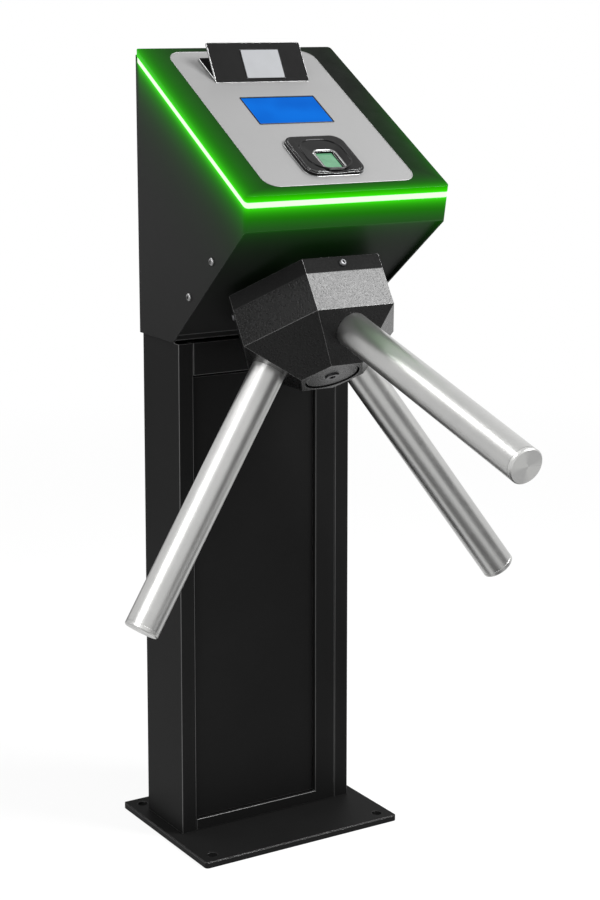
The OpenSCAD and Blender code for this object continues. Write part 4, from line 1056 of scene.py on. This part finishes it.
# %% Floor
def seen_white(finish):
    """1 for rays from the camera, from a gloss or through a glass."""
    rays = ("Is Camera Ray", "Is Glossy Ray", "Is Transmission Ray")
    camera, glossy, through = finish.node("ShaderNodeLightPath", output=rays)
    return camera.most(glossy).most(through)


OWN_WHITE = 0.86
FLOOR_HALF = 14.0
BELOW_BASE = 0.0004
paper = Finish("white_floor")
real = paper.node("ShaderNodeBsdfDiffuse", {}, {"Color": grey(0.88)})
white = paper.node("ShaderNodeEmission", {}, {"Color": grey(1.0), "Strength": 1.0})
away_x, away_y, _ = paper.parts()
away = paper.spread((away_x * away_x + away_y * away_y).maths("SQRT"), 0.7, 3.0)
white_share = seen_white(paper) * (away * (1 - OWN_WHITE) + OWN_WHITE)
paper.end(paper.node("ShaderNodeMixShader", {}, {0: white_share, 1: real, 2: white}))
floor_shape = bmesh.new()
bmesh.ops.create_grid(floor_shape, x_segments=4, y_segments=4, size=FLOOR_HALF)
floor_mesh = mesh_of("floor", floor_shape)
floor_mesh.transform(Matrix.Translation((0, 0, -BELOW_BASE)))
floor_mesh.materials.append(paper.owner)
floor = put_in("floor", floor_mesh)
print("the floor is", FLOOR_HALF * 2, "m wide")

# %% Surroundings
sky = Finish("studio", "worlds")
soft = sky.node("ShaderNodeBackground", {}, {"Color": grey(0.35)})
bright = sky.node("ShaderNodeBackground", {}, {"Color": grey(1.0)})
choice = sky.node("ShaderNodeMixShader", {}, {0: seen_white(sky), 1: soft, 2: bright})
bpy.context.scene.world = sky.end(choice, "ShaderNodeOutputWorld")
print("the surroundings are", sky.owner.name)

# %% [markdown]
# Three soft boxes light it: a wide one from the left lights the side wall, one from high at the right is
# mirrored by the hub's upper face, and a weak one behind draws a bright band along the front arm.


# %% Soft boxes
def soft_box(name, place, aim, width, height, watts):
    lamp = bpy.data.lights.new(name, "AREA")
    lamp.shape = "RECTANGLE"
    lamp.size, lamp.size_y, lamp.energy = width, height, watts
    box = put_in(name, lamp)
    box.location = place
    box.rotation_mode = "QUATERNION"
    box.rotation_quaternion = (Vector(aim) - Vector(place)).to_track_quat("-Z", "Y")
    print("soft box", name, width, "by", height, "m,", watts, "W")


soft_box("left_box", (-2.3, -0.7, 1.7), (0, 0, 0.7), 1.6, 2.0, 60)
soft_box("high_right_box", (1.17, -1.25, 2.25), (0, -0.15, 0.72), 1.0, 1.0, 108)
soft_box("back_box", (-0.8, 0.85, 2.2), (0, -0.3, 0.65), 0.9, 0.45, 12)

# %% [markdown]
# White all round would turn polished black into grey and steel into flat white. A photographer sets dark
# cards where the metal should mirror something dark. These four are seen only in reflections: one lies
# below the arms, one stands to the right of the front, one behind darkens the front arm's lower edge, and
# one at the left darkens the hub's left side.


# %% Dark cards
felt = Finish("black_felt")
fuzz = felt.noise(0.01, 2.0)
felt.surface(base_color=felt.between(fuzz, grey(0.06), grey(0.10)), roughness=0.9, specular_ior_level=0.0)


def dark_card(name, place, across, up, width, height):
    """A card about a place, spread along two directions, that only reflections see."""
    middle = Vector(place)
    across, up = Vector(across).normalized() * width / 2, Vector(up).normalized() * height / 2
    corners = [middle - across - up, middle + across - up, middle + across + up, middle - across + up]
    mesh = bpy.data.meshes.new(name)
    mesh.from_pydata(corners, [], [(0, 1, 2, 3)])
    mesh.materials.append(felt.owner)
    card = put_in(name, mesh)
    card.visible_camera = card.visible_diffuse = card.visible_shadow = False
    print("dark card", name, width, "by", height, "m")


dark_card("low_card", (0.25, -0.58, 0.03), (1, 0, 0), (0, 1, 0), 1.7, 0.55)
dark_card("right_card", (1.15, -1.5, 0.62), (0.84, 0.53, 0), (0, 0, 1), 1.5, 1.1)
dark_card("back_card", (0.3, 1.2, 0.26), (1, 0, 0), (0, 0, 1), 1.8, 0.48)
dark_card("left_card", (-1.5, 0.0, 1.16), (0, 1, 0), (0, 0, 1), 0.9, 0.7)

# %% [markdown]
# The camera stands where the photographer stood, a little to the left and at the height of the lid, with a
# long lens. Its place was found from the corners of the base, the column and the housing. The photograph is
# framed low, so the camera is shifted by about a sixth of the frame.

# %% Camera
CAMERA_TURN, CAMERA_DIP = math.radians(31.762), math.radians(8.112)
camera_aim = Vector((
    math.sin(CAMERA_TURN) * math.cos(CAMERA_DIP), math.cos(CAMERA_TURN) * math.cos(CAMERA_DIP),
    -math.sin(CAMERA_DIP)))
camera = put_in("camera", bpy.data.cameras.new("camera"))
camera.location = (-1.3141, -2.2302, 1.0904)
camera.rotation_mode = "QUATERNION"
camera.rotation_quaternion = camera_aim.to_track_quat("-Z", "Y")
camera.data.sensor_width = 36.0
camera.data.lens = 78.573
camera.data.shift_y = -0.17
bpy.context.scene.camera = camera
bpy.context.scene.view_settings.view_transform = "Standard"
print("camera at", rounded(camera.location), "lens", camera.data.lens, "mm")
